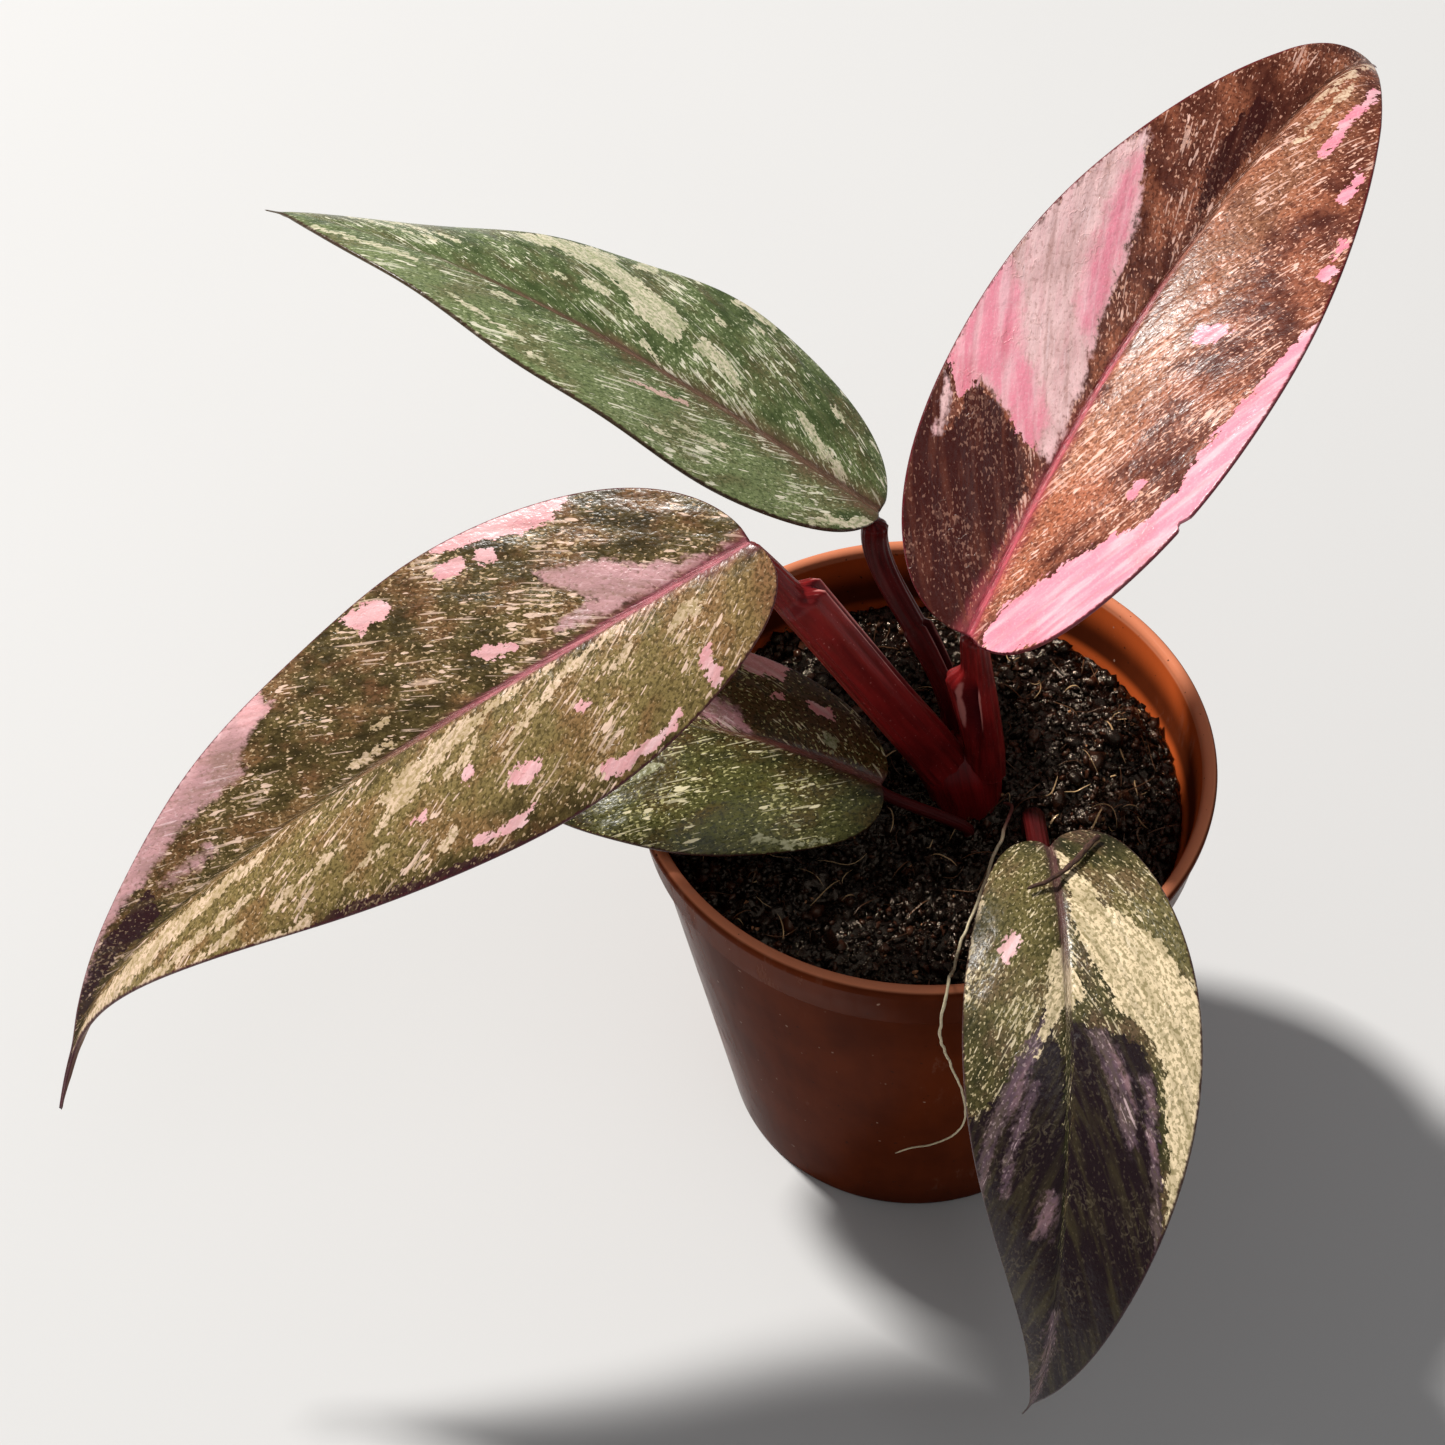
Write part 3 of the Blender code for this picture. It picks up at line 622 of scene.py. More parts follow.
    def pink_tone(self) -> Socket:
        """The pink patches' colour: long paler and deeper streaks, and fine grain."""
        g = self.g
        tone = self.tint("Pink", g.step(self.streak, 0.42, 0.7), 0.5, self.WHITE_PINK)
        tone = self.tint(tone, g.step(self.blotch, 0.48, 0.66), 0.28, "Midrib")
        return self.tint(tone, g.step(self.grain, 0.55, 0.68), 0.25, self.WHITE_PINK)

    def patches(self, colour: Socket) -> Socket:
        """The marked patches, laid over a colour: dark, then mauve, cream and pink."""
        pink, cream, mauve = self.g.split(self.source["Pale"])
        dark = self.g.split(self.source["Deep"])[0]
        colour = self.g.blend(self.patch(dark, 0.12), colour, self.dark_tone())
        colour = self.g.blend(self.patch(mauve, 0.55), colour, self.mauve_tone())
        colour = self.g.blend(self.patch(cream, 0.09), colour, self.cream_tone())
        softness = self.g.plus(0.08, self.g.times(self.patch(mauve, 0.15), 1.1))
        inside = self.g.plus(pink, self.ragged)
        mask = self.g.step(inside, self.g.times(softness, -1.0), softness)
        return self.g.blend(mask, colour, self.pink_tone())

    def side_veins(self) -> Socket:
        """Where the main side veins run: thin lines a spacing apart, a little unsteady."""
        g = self.g
        place = g.plus(g.split(self.source["Veins"])[0], self.swing(self.blotch, 1.5))
        gap = g.math("PINGPONG", place, g.times(self.source["Vein spacing"], 0.5))
        return g.low_end(gap, 0.06, 0.4)

    def midrib(self, colour: Socket) -> Socket:
        """The midrib over a colour: a band that narrows and fades, with darker sides."""
        g, source = self.g, self.source
        along, _, off = g.split(source["Place"])
        half = g.less(0.46, g.times(along, 0.36))
        edge = g.plus(g.less(half, off), self.swing(self.ripple, 0.9))
        reach = source["Midrib reach"]
        fade = g.low_end(along, g.less(reach, 0.25), reach)
        band = g.times(g.step(edge, -0.15, 0.15), fade)
        spread = g.times(g.math("MAXIMUM", g.less(reach, along), 0.0), 3.6)
        blurred = g.less(g.plus(off, self.swing(self.streak, 3.0)), spread)
        glow = g.low_end(blurred, -2.0, 0.4)
        colour = self.tint(colour, g.times(glow, fade), 0.36, "Midrib")
        tone = self.tint("Midrib", g.step(self.streak, 0.46, 0.6), 0.4, "Margin")
        colour = self.tint(colour, band, 0.75, tone)
        side = g.low_end(g.math("ABSOLUTE", edge), 0.03, 0.2)
        return self.tint(colour, g.times(side, fade), 0.4, "Margin")

    def relief(self, veins: Socket, lines: Socket) -> Socket:
        """Height of the skin in millimetres: small bumps, fine lines and side veins."""
        g = self.g
        height = g.plus(self.swing(self.ripple, 0.06), self.swing(self.mottle, 0.12))
        height = g.plus(height, self.swing(self.wrinkle, 0.3))
        height = g.plus(height, g.times(lines, 0.03))
        return g.less(height, g.times(veins, 0.012))

    def build(self) -> NodeTree:
        """Join the layers.

        Returns:
            The group, with the colour, roughness and height of the surface.
        """
        g, source = self.g, self.source
        under = g.split(source["Deep"])[2]
        veins = self.side_veins()
        lines = g.low_end(g.math("ABSOLUTE", self.swing(self.wrinkle, 1.0)), 0.004, 0.02)
        lines = g.times(lines, g.step(self.blotch, 0.48, 0.6))
        colour = self.patches(self.base())
        colour = self.tint(colour, veins, 0.12, "Base light")
        # Painted glints: the wrinkle lines are lightened toward the speck colour.
        colour = self.tint(colour, lines, 0.07, "Speck")
        colour = self.midrib(colour)
        margin = g.plus(g.split(source["Place"])[1], self.swing(self.ripple, 0.5))
        colour = self.tint(colour, g.low_end(margin, 0.1, 0.38), 0.9, "Margin")
        colour = self.tint(colour, under, 0.62, "Underside")
        rough = g.plus(0.29, self.swing(self.ripple, 0.35))
        g.put_out(colour, g.plus(rough, g.times(under, 0.18)), self.relief(veins, lines))
        return self.group


@dataclass(frozen=True)
class LeafFinish(GroupFinish):
    """The colours of one leaf, and how many specks and flecks it has."""

    slot: str
    base_dark: Colour
    base_light: Colour
    speck: Colour
    fleck: Colour
    warm: Colour
    gold: Colour
    dark: Colour
    mauve: Colour
    cream: Colour
    pink: Colour
    midrib: Colour
    margin: Colour
    underside: Colour
    speck_level: float
    fleck_level: float
    dark_specks: float
    vein_spacing: float
    midrib_reach: float

    def material(self, group: NodeTree) -> Material:
        """The leaf's material, from the shared leaf group."""
        return self.dressed(self.slot, group, strength=0.75, specular=0.27)


class SkinGroup:
    """The shared look of the stalks and the stem: lengthwise ridges, pale sheath edges, spots.

    Its Along vector counts millimetres round the stalk and along it; its third part is how much
    painted shade darkens the skin. Its Place vector holds the share of the length, how much of a
    pale sheath edge a point is, and how much inner side.
    """

    NAME = "ribbed skin"
    COLOURS = ("Deep", "Bright", "Edge", "Inside", "Shade")

    def build(self) -> NodeTree:
        """Make the group.

        Returns:
            The group, with the colour, roughness and height of the surface.
        """
        group = new_group(self.NAME, self.COLOURS, (), ("Along", "Place"))
        g = Graph(group)
        source = g.add("NodeGroupInput").outputs
        along = source["Along"]
        edge, inside = g.split(source["Place"])[1:]
        ridge = g.noise(along, (1.7, 0.07, 0.0), detail=3.0, roughness=0.6)
        patch = g.noise(along, (0.35, 0.12, 0.0), (4.0, 2.0, 0.0), detail=3.0)
        grain = g.noise(along, (4.5, 1.6, 0.0), detail=2.0)
        tone = g.plus(g.times(ridge, 0.6), g.times(patch, 0.4))
        colour = g.blend(g.step(tone, 0.3, 0.72), source["Deep"], source["Bright"])
        dots = g.step(grain, 0.66, 0.72)
        colour = g.blend(g.times(dots, 0.35), colour, source["Edge"])
        colour = g.blend(g.times(inside, 0.85), colour, source["Inside"])
        uneven = g.times(g.less(patch, 0.5), 1.2)
        pale = g.step(g.plus(edge, uneven), 0.45, 0.8)
        colour = g.blend(g.times(pale, 0.8), colour, source["Edge"])
        height = g.plus(g.times(ridge, 0.10), g.times(grain, 0.04))
        # Painted shade: the third part of Along darkens the colour toward Shade, for stalks that sit in
        # shadow.
        colour = g.blend(g.times(g.split(along)[2], 0.85), colour, source["Shade"])
        g.put_out(colour, g.plus(g.times(grain, 0.3), 0.2), height)
        return group


@dataclass(frozen=True)
class SkinFinish(GroupFinish):
    """The colours of a ribbed stalk or stem."""

    slot: str
    deep: Colour
    bright: Colour
    edge: Colour
    inside: Colour
    # shade: the colour of the painted shade on stalks that sit in shadow.
    shade: Colour = (0.022, 0.003, 0.003)

    def material(self, group: NodeTree) -> Material:
        """The skin's material, from the shared skin group."""
        return self.dressed(self.slot, group, strength=0.8, specular=0.2)


class GrainGroup:
    """The shared look of damp soil: dark to mid brown by grain, with wet and pale specks."""

    NAME = "damp grain"
    COLOURS = ("Dark", "Brown", "Straw")

    def build(self) -> NodeTree:
        """Make the group.

        Returns:
            The group, with the colour, roughness and height of the surface.
        """
        group = new_group(self.NAME, self.COLOURS, (), ("Where", "Grain"))
        g = Graph(group)
        source = g.add("NodeGroupInput").outputs
        where = source["Where"]
        shade, kind = g.split(source["Grain"])[:2]
        mottle = g.noise(where, (1.6, 1.6, 1.6), detail=3.0)
        fine = g.noise(where, (6.0, 6.0, 6.0), detail=3.0, roughness=0.6)
        tone = g.plus(g.times(shade, 0.7), g.times(mottle, 0.5))
        colour = g.blend(g.step(tone, 0.55, 1.05), source["Dark"], source["Brown"])
        colour = g.blend(g.times(g.step(fine, 0.6, 0.7), 0.5), colour, source["Brown"])
        colour = g.blend(g.step(kind, 0.4, 0.6), colour, source["Straw"])
        rough = g.less(0.32, g.times(g.step(mottle, 0.38, 0.50), 0.22))
        height = g.plus(g.times(fine, 0.35), g.times(mottle, 0.3))
        g.put_out(colour, rough, height)
        return group


@dataclass(frozen=True)
class GrainFinish(GroupFinish):
    """The colours of one sort of soil matter."""

    name: str
    dark: Colour
    brown: Colour
    straw: Colour

    def material(self, group: NodeTree) -> Material:
        """The soil matter's material, from the shared grain group, with warm highlights."""
        material = self.dressed(self.name, group, strength=0.25, specular=0.5)
        shader = material.node_tree.nodes["Principled BSDF"]
        shader.inputs["Specular Tint"].default_value = rgba((1.0, 0.78, 0.6))
        return material


@dataclass(frozen=True)
class PlasticFinish:
    """Glossy moulded plastic, scuffed and dusty here and there, in two painted tones: a dark brown body
    in painted shade, and a bright orange inner wall and lip in painted light.
    """

    slot: str = "pot_plastic"
    # The body tones are the plastic in painted shade; bright and lip are the same plastic in painted
    # light, for the inner wall and the lip's crown.
    body: Colour = (0.118, 0.022, 0.0062)
    body_dark: Colour = (0.070, 0.013, 0.0042)
    bright: Colour = (0.55, 0.10, 0.022)
    lip: Colour = (0.72, 0.25, 0.13)
    dust: Colour = (0.50, 0.33, 0.25)
    dirt: Colour = (0.03, 0.012, 0.008)
    wall_start: float = 24.5
    wall_slope: float = 0.1507
    lip_level: float = 63.8
    lip_radius: float = 34.75

    def lit_zones(self, g: Graph, where: Socket) -> tuple[Socket, Socket]:
        """Masks of the inner wall and of the lip's crown, where the painted light goes.

        Args:
            g: The writer.
            where: Place in millimetres.

        Returns:
            1 on the inner wall, and 1 on the crown.
        """
        x, y, z = g.split(where)
        radius = g.math("SQRT", g.plus(g.times(x, x), g.times(y, y)))
        outer = g.plus(g.times(z, self.wall_slope), self.wall_start)
        inner = g.low_end(g.less(radius, outer), -0.95, -0.55)
        past = g.step(radius, self.lip_radius - 0.15, self.lip_radius + 0.15)
        high = g.step(z, self.lip_level, self.lip_level + 0.3)
        return inner, g.math("SUBTRACT", high, past, clamp=True)

    def material(self) -> Material:
        """Make the pot's material."""
        material, g, shader = new_material(self.slot)
        where = g.object_place()
        cloud = g.noise(where, (0.06, 0.06, 0.04), detail=4.0, roughness=0.6)
        scuff = g.noise(where, (0.6, 0.6, 0.14), detail=5.0, roughness=0.65)
        dots = g.noise(where, (1.3, 1.3, 1.1), (3.0, 8.0, 2.0), detail=2.0)
        # Long vertical streaks in the body colour: flow marks in the plastic, and partly painted soft
        # highlights that stand in for gloss.
        flow_and_sheen = g.noise(where, (0.22, 0.22, 0.015), detail=3.0)
        tone = g.plus(g.times(cloud, 0.75), g.times(flow_and_sheen, 0.25))
        colour = g.blend(g.step(tone, 0.34, 0.66), rgba(self.body_dark), rgba(self.body))
        inner, crown = self.lit_zones(g, where)
        # Painted light: the inner wall and the lip's crown take a much brighter orange than the body.
        colour = g.blend(g.times(inner, 0.92), colour, rgba(self.bright))
        colour = g.blend(g.times(crown, 0.85), colour, rgba(self.lip))
        haze = g.times(g.step(cloud, 0.54, 0.7), g.step(scuff, 0.52, 0.72))
        colour = g.blend(g.times(haze, 0.2), colour, rgba(self.dust))
        low = g.low_end(g.split(where)[2], 0.0, 9.0)
        grime = g.times(g.step(scuff, 0.58, 0.68), g.times(low, 0.55))
        spots = g.times(g.step(dots, 0.72, 0.75), 0.85)
        colour = g.blend(g.math("MAXIMUM", spots, grime), colour, rgba(self.dirt))
        specks = g.noise(where, (1.1, 1.1, 1.1), (1.0, 5.0, 9.0), detail=1.0)
        colour = g.blend(g.times(g.step(specks, 0.785, 0.8), 0.5), colour, rgba(self.dust))
        rough = g.plus(0.16, g.times(haze, 0.3))
        rough = g.plus(rough, g.times(g.step(scuff, 0.45, 0.75), 0.12))
        height = g.plus(g.times(scuff, 0.03), g.times(flow_and_sheen, 0.12))
        g.feed(shader.inputs["Base Color"], colour)
        g.feed(shader.inputs["Roughness"], rough)
        g.feed(shader.inputs["Normal"], g.bump(height, 0.5))
        shader.inputs["Specular IOR Level"].default_value = 0.004
        return material


@dataclass(frozen=True)
class StrandFinish:
    """The colours of a root or twig: a young and an old end, and bands along it."""

    slot: str
    colour: Colour
    shade: Colour
    start: Colour
    start_reach: float
    roughness: float

    def material(self) -> Material:
        """Make the strand's material. Its lengths run along the strand and round it."""
        material, g, shader = new_material(self.slot)
        lengths = g.attribute("along")
        bands = g.noise(lengths, (1.4, 3.0, 0.0), detail=3.0)
        fine = g.noise(lengths, (6.0, 12.0, 0.0), detail=2.0)
        colour = g.blend(g.step(bands, 0.38, 0.62), rgba(self.colour), rgba(self.shade))
        along = g.split(lengths)[2]
        near = g.low_end(along, self.start_reach * 0.5, self.start_reach)
        colour = g.blend(near, colour, rgba(self.start))
        g.feed(shader.inputs["Base Color"], colour)
        g.feed(shader.inputs["Normal"], g.bump(g.times(fine, 0.2), 0.8))
        shader.inputs["Roughness"].default_value = self.roughness
        return material


# Leaf blades


class Tone(Enum):
    """The sorts of patch on a leaf, with the vector and the part of it that carries each."""

    PINK = ("pale", 0)
    CREAM = ("pale", 1)
    MAUVE = ("pale", 2)
    DARK = ("deep", 0)
    WARM = ("deep", 1)
    GOLD = ("glow", 0)


Markings = dict[Tone, tuple[Outline, ...]]


def inside_outline(outline: Outline, s: Array, w: Array) -> Array:
    """Signed distance to a marking's outline, above zero inside it.

    The distance is the least one to any of the outline's sides, and a point is inside where a ray
    from it crosses them an odd number of times.

    Args:
        outline: Its corners, each as distances (along the midrib, out to the left of it).
        s: Distance of each point along the midrib.
        w: Its distance to the left of the midrib.

    Returns:
        The signed distances.
    """
    corners = np.array(outline, float)
    nearest = np.full(s.shape, np.inf)
    crossings = np.zeros(s.shape, int)
    for (ax, ay), (bx, by) in zip(corners, np.roll(corners, -1, axis=0)):
        dx, dy = bx - ax, by - ay
        t = np.clip(((s - ax) * dx + (w - ay) * dy) / max(dx * dx + dy * dy, 1e-9), 0.0, 1.0)
        nearest = np.minimum(nearest, np.hypot(s - ax - t * dx, w - ay - t * dy))
        if dy != 0.0:
            crossings += ((ay > w) != (by > w)) & (s < ax + (w - ay) * dx / dy)
    return np.where(crossings % 2 == 1, nearest, -nearest)


@dataclass(frozen=True)
class BladeShape:
    """The form of a leaf blade, as in its solid.

    A midrib curve turns and droops, and a width rises and tapers along it. Pairs are (at the
    base, at the tip), or (left half, right half) as seen from the stalk.
    """

    name: str
    base: Triple
    length: float
    tail: float
    heading: Pair
    pitch: Pair
    droop: float
    nod: float
    roll: Pair
    twist: float
    hook: float
    half_widths: Pair
    taper: Pair
    fold: Pair
    curls: Pair
    lobes: Pair
    waves: Pair

    CURVE_STEPS = 240
    HOOK_START = 0.75
    NOD_START = 0.86
    TAIL_START = 0.90
    TAIL_HALF_WIDTH = 0.62
    TIP_HALF_WIDTH = 0.14
    STUB_HALF_WIDTH = 1.1

    def frames(self) -> tuple[Array, ...]:
        """Follow the midrib.

        Pitch, heading and roll run from their base to their tip values, each by its own power of
        the share of the length, and the directions they give are added up into a curve.

        Returns:
            Distance along the midrib, its points, and the along, across and up directions.
        """
        share = np.linspace(0.0, 1.0 + self.tail / self.length, self.CURVE_STEPS + 1)
        body = np.clip(share, 0.0, 1.0)
        nod = np.clip((share - self.NOD_START) / (1.0 - self.NOD_START), 0.0, 2.0)
        pitch = between(self.pitch, body**self.droop)
        pitch = np.radians(pitch + self.nod * nod)
        heading = np.radians(between(self.heading, share))
        level = np.cos(pitch)
        along = np.stack([np.cos(heading) * level, np.sin(heading) * level, np.sin(pitch)], axis=1)
        across = np.stack([-np.sin(heading), np.cos(heading), np.zeros_like(share)], axis=1)
        up = np.cross(along, across)
        roll = between(self.roll, body**self.twist)
        across, up = self.turned(across, up, roll)
        bend = np.clip((share - self.HOOK_START) / (1.0 - self.HOOK_START), 0.0, 1.3) ** 2
        along, across = self.turned(along, across, self.hook * bend)
        steps = 0.5 * (along[1:] + along[:-1]) * (self.length + self.tail) / self.CURVE_STEPS
        points = np.concatenate([np.zeros((1, 3)), np.cumsum(steps, axis=0)]) + self.base
        return share * self.length, points, along, across, up

    @staticmethod
    def turned(first: Array, second: Array, angle: Array) -> tuple[Array, Array]:
        """Two crossing directions, turned in their own plane by these angles."""
        cos, sin = np.cos(np.radians(angle))[:, None], np.sin(np.radians(angle))[:, None]
        return first * cos + second * sin, second * cos - first * sin

    def width_share(self, u: Array) -> Array:
        """How much of its full half width the blade has: u^a (1-u)^b, scaled to peak at 1."""
        a, b = self.taper
        peak = a / (a + b)
        inside = np.clip(u, 0.0, 1.0)
        return inside**a * (1.0 - inside) ** b / (peak**a * (1.0 - peak) ** b)

    def tail_width(self, u: Array) -> Array:
        """Half width of the thin drip tip that carries the blade on past its taper."""
        end = 1.0 + self.tail / self.length
        t = np.clip((u - self.TAIL_START) / (end - self.TAIL_START), 0.0, 1.0)
        width = between((self.TIP_HALF_WIDTH, self.TAIL_HALF_WIDTH), 1.0 - t)
        return width * np.clip(4.0 * t, 0.0, 1.0)

    def first_share(self) -> float:
        """The share of the length near the base where the blade is as wide as its stub."""
        u = np.linspace(0.0, 0.02, 4001)[1:]
        widths = self.width_share(u) * np.mean(self.half_widths)
        return float(u[np.argmin(np.abs(widths - self.STUB_HALF_WIDTH))])

    def width(self, u: Array, v: Array) -> Array:
        """Half width of the half that v lies on."""
        full = np.where(v > 0.0, *self.half_widths)
        return np.hypot(self.width_share(u) * full, self.tail_width(u))

    def surface(self, u: Array, v: Array) -> tuple[Array, Array, Array]:
        """The upper face: each half leaves the midrib at the fold angle and bends by its curl.

        The basal lobes push the edge back past the base, and a wave runs along it.

        Args:
            u: Shares of the length, from the base, 0, past the taper's end, 1, to the tip.
            v: Shares of the half width, from the right edge, -1, to the left edge, 1.

        Returns:
            Points of the face, and their distances along and out from the midrib.
        """
        distance, curve, along, across, up = self.frames()
        full = np.where(v > 0.0, *self.half_widths)
        width = self.width(u, v)
        out = np.abs(v)
        inside = np.clip(u, 0.0, 1.0)
        lobe = np.where(v > 0.0, *self.lobes)
        back = lobe * np.sin(np.pi * np.clip(width * out / full, 0.0, 1.0))
        s = self.length * u - back * (1.0 - inside) ** 2

        def at(values: Array) -> Array:
            """Directions or points of the midrib at each point's distance along it."""
            return np.stack([np.interp(s, distance, values[:, k]) for k in range(3)], axis=-1)

        fold = np.radians(between(self.fold, inside**3))
        curl = np.radians(np.where(v > 0.0, *self.curls))
        flat = width * (np.sin(fold + curl * out) - np.sin(fold)) / curl
        rise = width * (np.cos(fold) - np.cos(fold + curl * out)) / curl
        height, count = self.waves
        phase = 2.0 * np.pi * count * u + np.where(v > 0.0, 0.0, 1.9)
        rise = rise + height * out**3 * np.sin(phase) * np.sin(np.pi * inside)
        points = at(curve) + at(along) * np.minimum(s, 0.0)[..., None]
        points = points + at(across) * (flat * np.sign(v))[..., None] + at(up) * rise[..., None]
        return points, s, width * v


@dataclass(frozen=True)
class Nick:
    """A small tear in a leaf's margin: where along it, its half length and its depth."""

    along: float
    half_length: float
    depth: float


@dataclass(frozen=True)
class Leaf:
    """A leaf blade with its veins, markings and finish."""

    shape: BladeShape
    finish: LeafFinish
    patches: Markings
    vein_slope: Pair = (1.2, 2.0)
    quilting: float = 0.04
    bumps: float = 0.05
    thickness: float = 0.55
    edge_radius: float = 0.35
    rib_depth: float = 1.35
    rib_half_width: float = 0.95
    rib_taper: float = 0.85
    groove: Pair = (0.2, 0.5)
    right_nick: Nick | None = None

    ROWS = 236
    HALF_COLUMNS = 52
    REACH = 3.0
    HALF_SHIFT = 11.0

    def columns(self) -> Array:
        """Shares across the blade, closer together at the midrib and at both edges."""
        t = np.linspace(0.0, 1.0, self.HALF_COLUMNS + 1)
        half = t - 0.78 * np.sin(2.0 * np.pi * t) / (2.0 * np.pi)
        return np.concatenate([-half[:0:-1], half])

    def rows(self) -> Array:
        """Shares along the blade, closer together at the base and the tip."""
        first = self.shape.first_share()
        last = 1.0 + self.shape.tail / self.shape.length
        t = 0.5 - 0.5 * np.cos(np.linspace(0.0, np.pi, self.ROWS))
        t = 0.35 * t + 0.65 * np.linspace(0.0, 1.0, self.ROWS) ** 1.15
        return first + (last - first) * t

    def vein_lengths(self, s: Array, w: Array) -> Array:
        """Lengths in the net of side veins, which run more and more along the leaf.

        A side vein goes m along the leaf for each 1 out from the midrib, and m grows evenly with
        s. With r as the root of 1 + m squared, the length across the veins is the integral of
        1/r along the midrib less |w| m/r, and the length along them is the integral of m/r plus
        |w|/r. A shift at the midrib keeps the halves from mirroring each other.

        Args:
            s: Distance along the midrib.
            w: Distance to the left of it.

        Returns:
            The lengths across and along the veins, and 0.
        """
        start, growth = self.vein_slope
        rate = growth / self.shape.length
        slope = start + rate * np.clip(s, 0.0, self.shape.length)
        past = s - np.clip(s, 0.0, self.shape.length)
        root = np.sqrt(1.0 + slope**2)
        across = (np.arcsinh(slope) - np.arcsinh(start)) / rate + past / root
        along = (root - np.sqrt(1.0 + start**2)) / rate + past * slope / root
        across = across - np.abs(w) * slope / root
        along = along + np.abs(w) / root + self.HALF_SHIFT * ease(w, -0.5, 0.5)
        return stacked(across, along, 0.0)

    def quilt(self, s: Array, w: Array, margin: Array) -> Array:
        """Height of the upper face over its plain form.

        The side veins lie in shallow furrows between low pillows, and the midrib in a groove.

        Args:
            s: Distance along the midrib.
            w: Distance to the left of it.
            margin: Distance to the margin.

        Returns:
            Heights.
        """
        across, along = np.moveaxis(self.vein_lengths(s, w), -1, 0)[:2]
        wander = lattice_noise(0.09 * s + 3.0, 0.13 * w + 8.0, seed=5)
        pillow = np.sin(np.pi * (across + 0.6 * wander) / self.finish.vein_spacing) ** 2 - 0.5
        broad = 0.6 * lattice_noise(0.055 * s, 0.16 * w + 4.0, seed=9)
        bumps = lattice_noise(0.5 * across + 50.0, 0.28 * along + 50.0, seed=14)
        fade = ease(np.abs(w), 0.5, 3.5) * ease(margin, 0.2, 2.5)
        depth, half = self.groove
        body = np.clip(s / self.shape.length, 0.0, 1.0)
        groove = depth * (1.0 - 0.75 * body) * np.exp(-((w / (half * (1.2 - 0.6 * body))) ** 2))
        return (self.quilting * (pillow + broad) + self.bumps * bumps) * fade - groove

    def rib(self, u: Array, w: Array) -> Array:
        """How far the midrib stands out below, as a rounded ridge that tapers to the tip."""
        taper = 1.0 - self.rib_taper * np.clip(u, 0.0, 1.0)
        depth = self.rib_depth * taper
        half = self.rib_half_width * (0.45 + 0.55 * taper)
        end = ease(u * self.shape.length, -0.2, 0.9)
        return depth * np.exp(-((w / half) ** 2)) * (0.35 + 0.65 * end)

    def mesh(self) -> Surface:
        """The blade as one closed sheet.

        Its upper and lower grids share their border points. Near the margin both faces run
        together along a quarter circle, so that the edge is round.

        Returns:
            The sheet, with its vein map, markings and places.
        """
        u, v = np.meshgrid(self.rows(), self.columns(), indexing="ij")
        middle, s, w = self.shape.surface(u, v)
        if self.right_nick is not None:
            nick = self.right_nick
            notch = np.exp(-(((s - nick.along) / nick.half_length) ** 2)) * (v < 0.0)
            v = v * (1.0 - notch * np.abs(v) ** 6 * nick.depth / self.shape.width(u, v))
            middle, s, w = self.shape.surface(u, v)
        margin = self.shape.width(u, v) * (1.0 - np.abs(v))
        margin = np.minimum(margin, (u - u[0, 0]) * self.shape.length)
        margin = np.minimum(margin, (u[-1, 0] - u) * self.shape.length)
        normal = unit(np.cross(np.gradient(middle, axis=0), np.gradient(middle, axis=1)))
        up = self.shape.frames()[4]
        if normal[self.ROWS // 2, self.HALF_COLUMNS] @ up[self.shape.CURVE_STEPS // 2] < 0.0:
            normal = -normal
        near = np.clip(1.0 - margin / self.edge_radius, 0.0, 1.0)
        end = np.clip((u[-1, 0] - u) * self.shape.length / 5.0, 0.3, 1.0)
        half = 0.5 * self.thickness * np.sqrt(1.0 - near**2) * end
        centre = middle + normal * (self.quilt(s, w, margin) - 0.5 * self.thickness)[..., None]
        upper = centre + normal * half[..., None]
        lower = centre - normal * (half + self.rib(u, w) * ease(margin, 0.0, 0.6))[..., None]
        faces, inner = self.sheet_faces(*u.shape)
        points = np.concatenate([upper.reshape(-1, 3), lower.reshape(-1, 3)[inner]])
        values = self.marks(s, w)
        values["veins"] = self.vein_lengths(s, w)
        values["place"] = stacked(u, margin, np.abs(w))
        under = np.concatenate([np.zeros(u.size), np.ones(len(inner))])
        flat = {key: value.reshape(-1, 3) for key, value in values.items()}
        flat = {key: np.concatenate([value, value[inner]]) for key, value in flat.items()}
        flat["deep"][:, 2] = under
        return Surface(points, faces, flat)

    def marks(self, s: Array, w: Array) -> dict[str, Array]:
        """How far inside the patches of each tone every point lies, held to a few millimetres."""
        values = {key: np.full((*s.shape, 3), -self.REACH) for key in ("pale", "deep", "glow")}
        for tone, outlines in self.patches.items():
            key, part = tone.value
            for outline in outlines:
                inside = np.clip(inside_outline(outline, s, w), -self.REACH, self.REACH)
                values[key][..., part] = np.maximum(values[key][..., part], inside)
        return values

    @staticmethod
    def sheet_faces(rows: int, columns: int) -> tuple[Array, Array]:
        """Triangles of two grids that share their border, and the inner points of the second.

        Args:
            rows: Rows of each grid.
            columns: Points in a row.

        Returns:
            The triangles, and the numbers of the inner points of the lower grid.
        """
        upper = grid_triangles(rows, columns)
        number = np.arange(rows * columns).reshape(rows, columns)
        inner = number[1:-1, 1:-1].ravel()
        lower_number = number.copy()
        below = rows * columns + np.arange(len(inner))
        lower_number[1:-1, 1:-1] = below.reshape(rows - 2, columns - 2)
        lower = lower_number.ravel()[upper][:, ::-1]
        return np.concatenate([upper, lower]), inner

    def build(self, group: NodeTree) -> None:
        """Make the blade, dress it and put it in its solid's place."""
        item = self.mesh().face_outwards().build("leaf_" + self.shape.name.removeprefix("blade_"))
        place(item, self.finish.material(group), self.finish.slot, (self.shape.name,))


# Stalks and stem


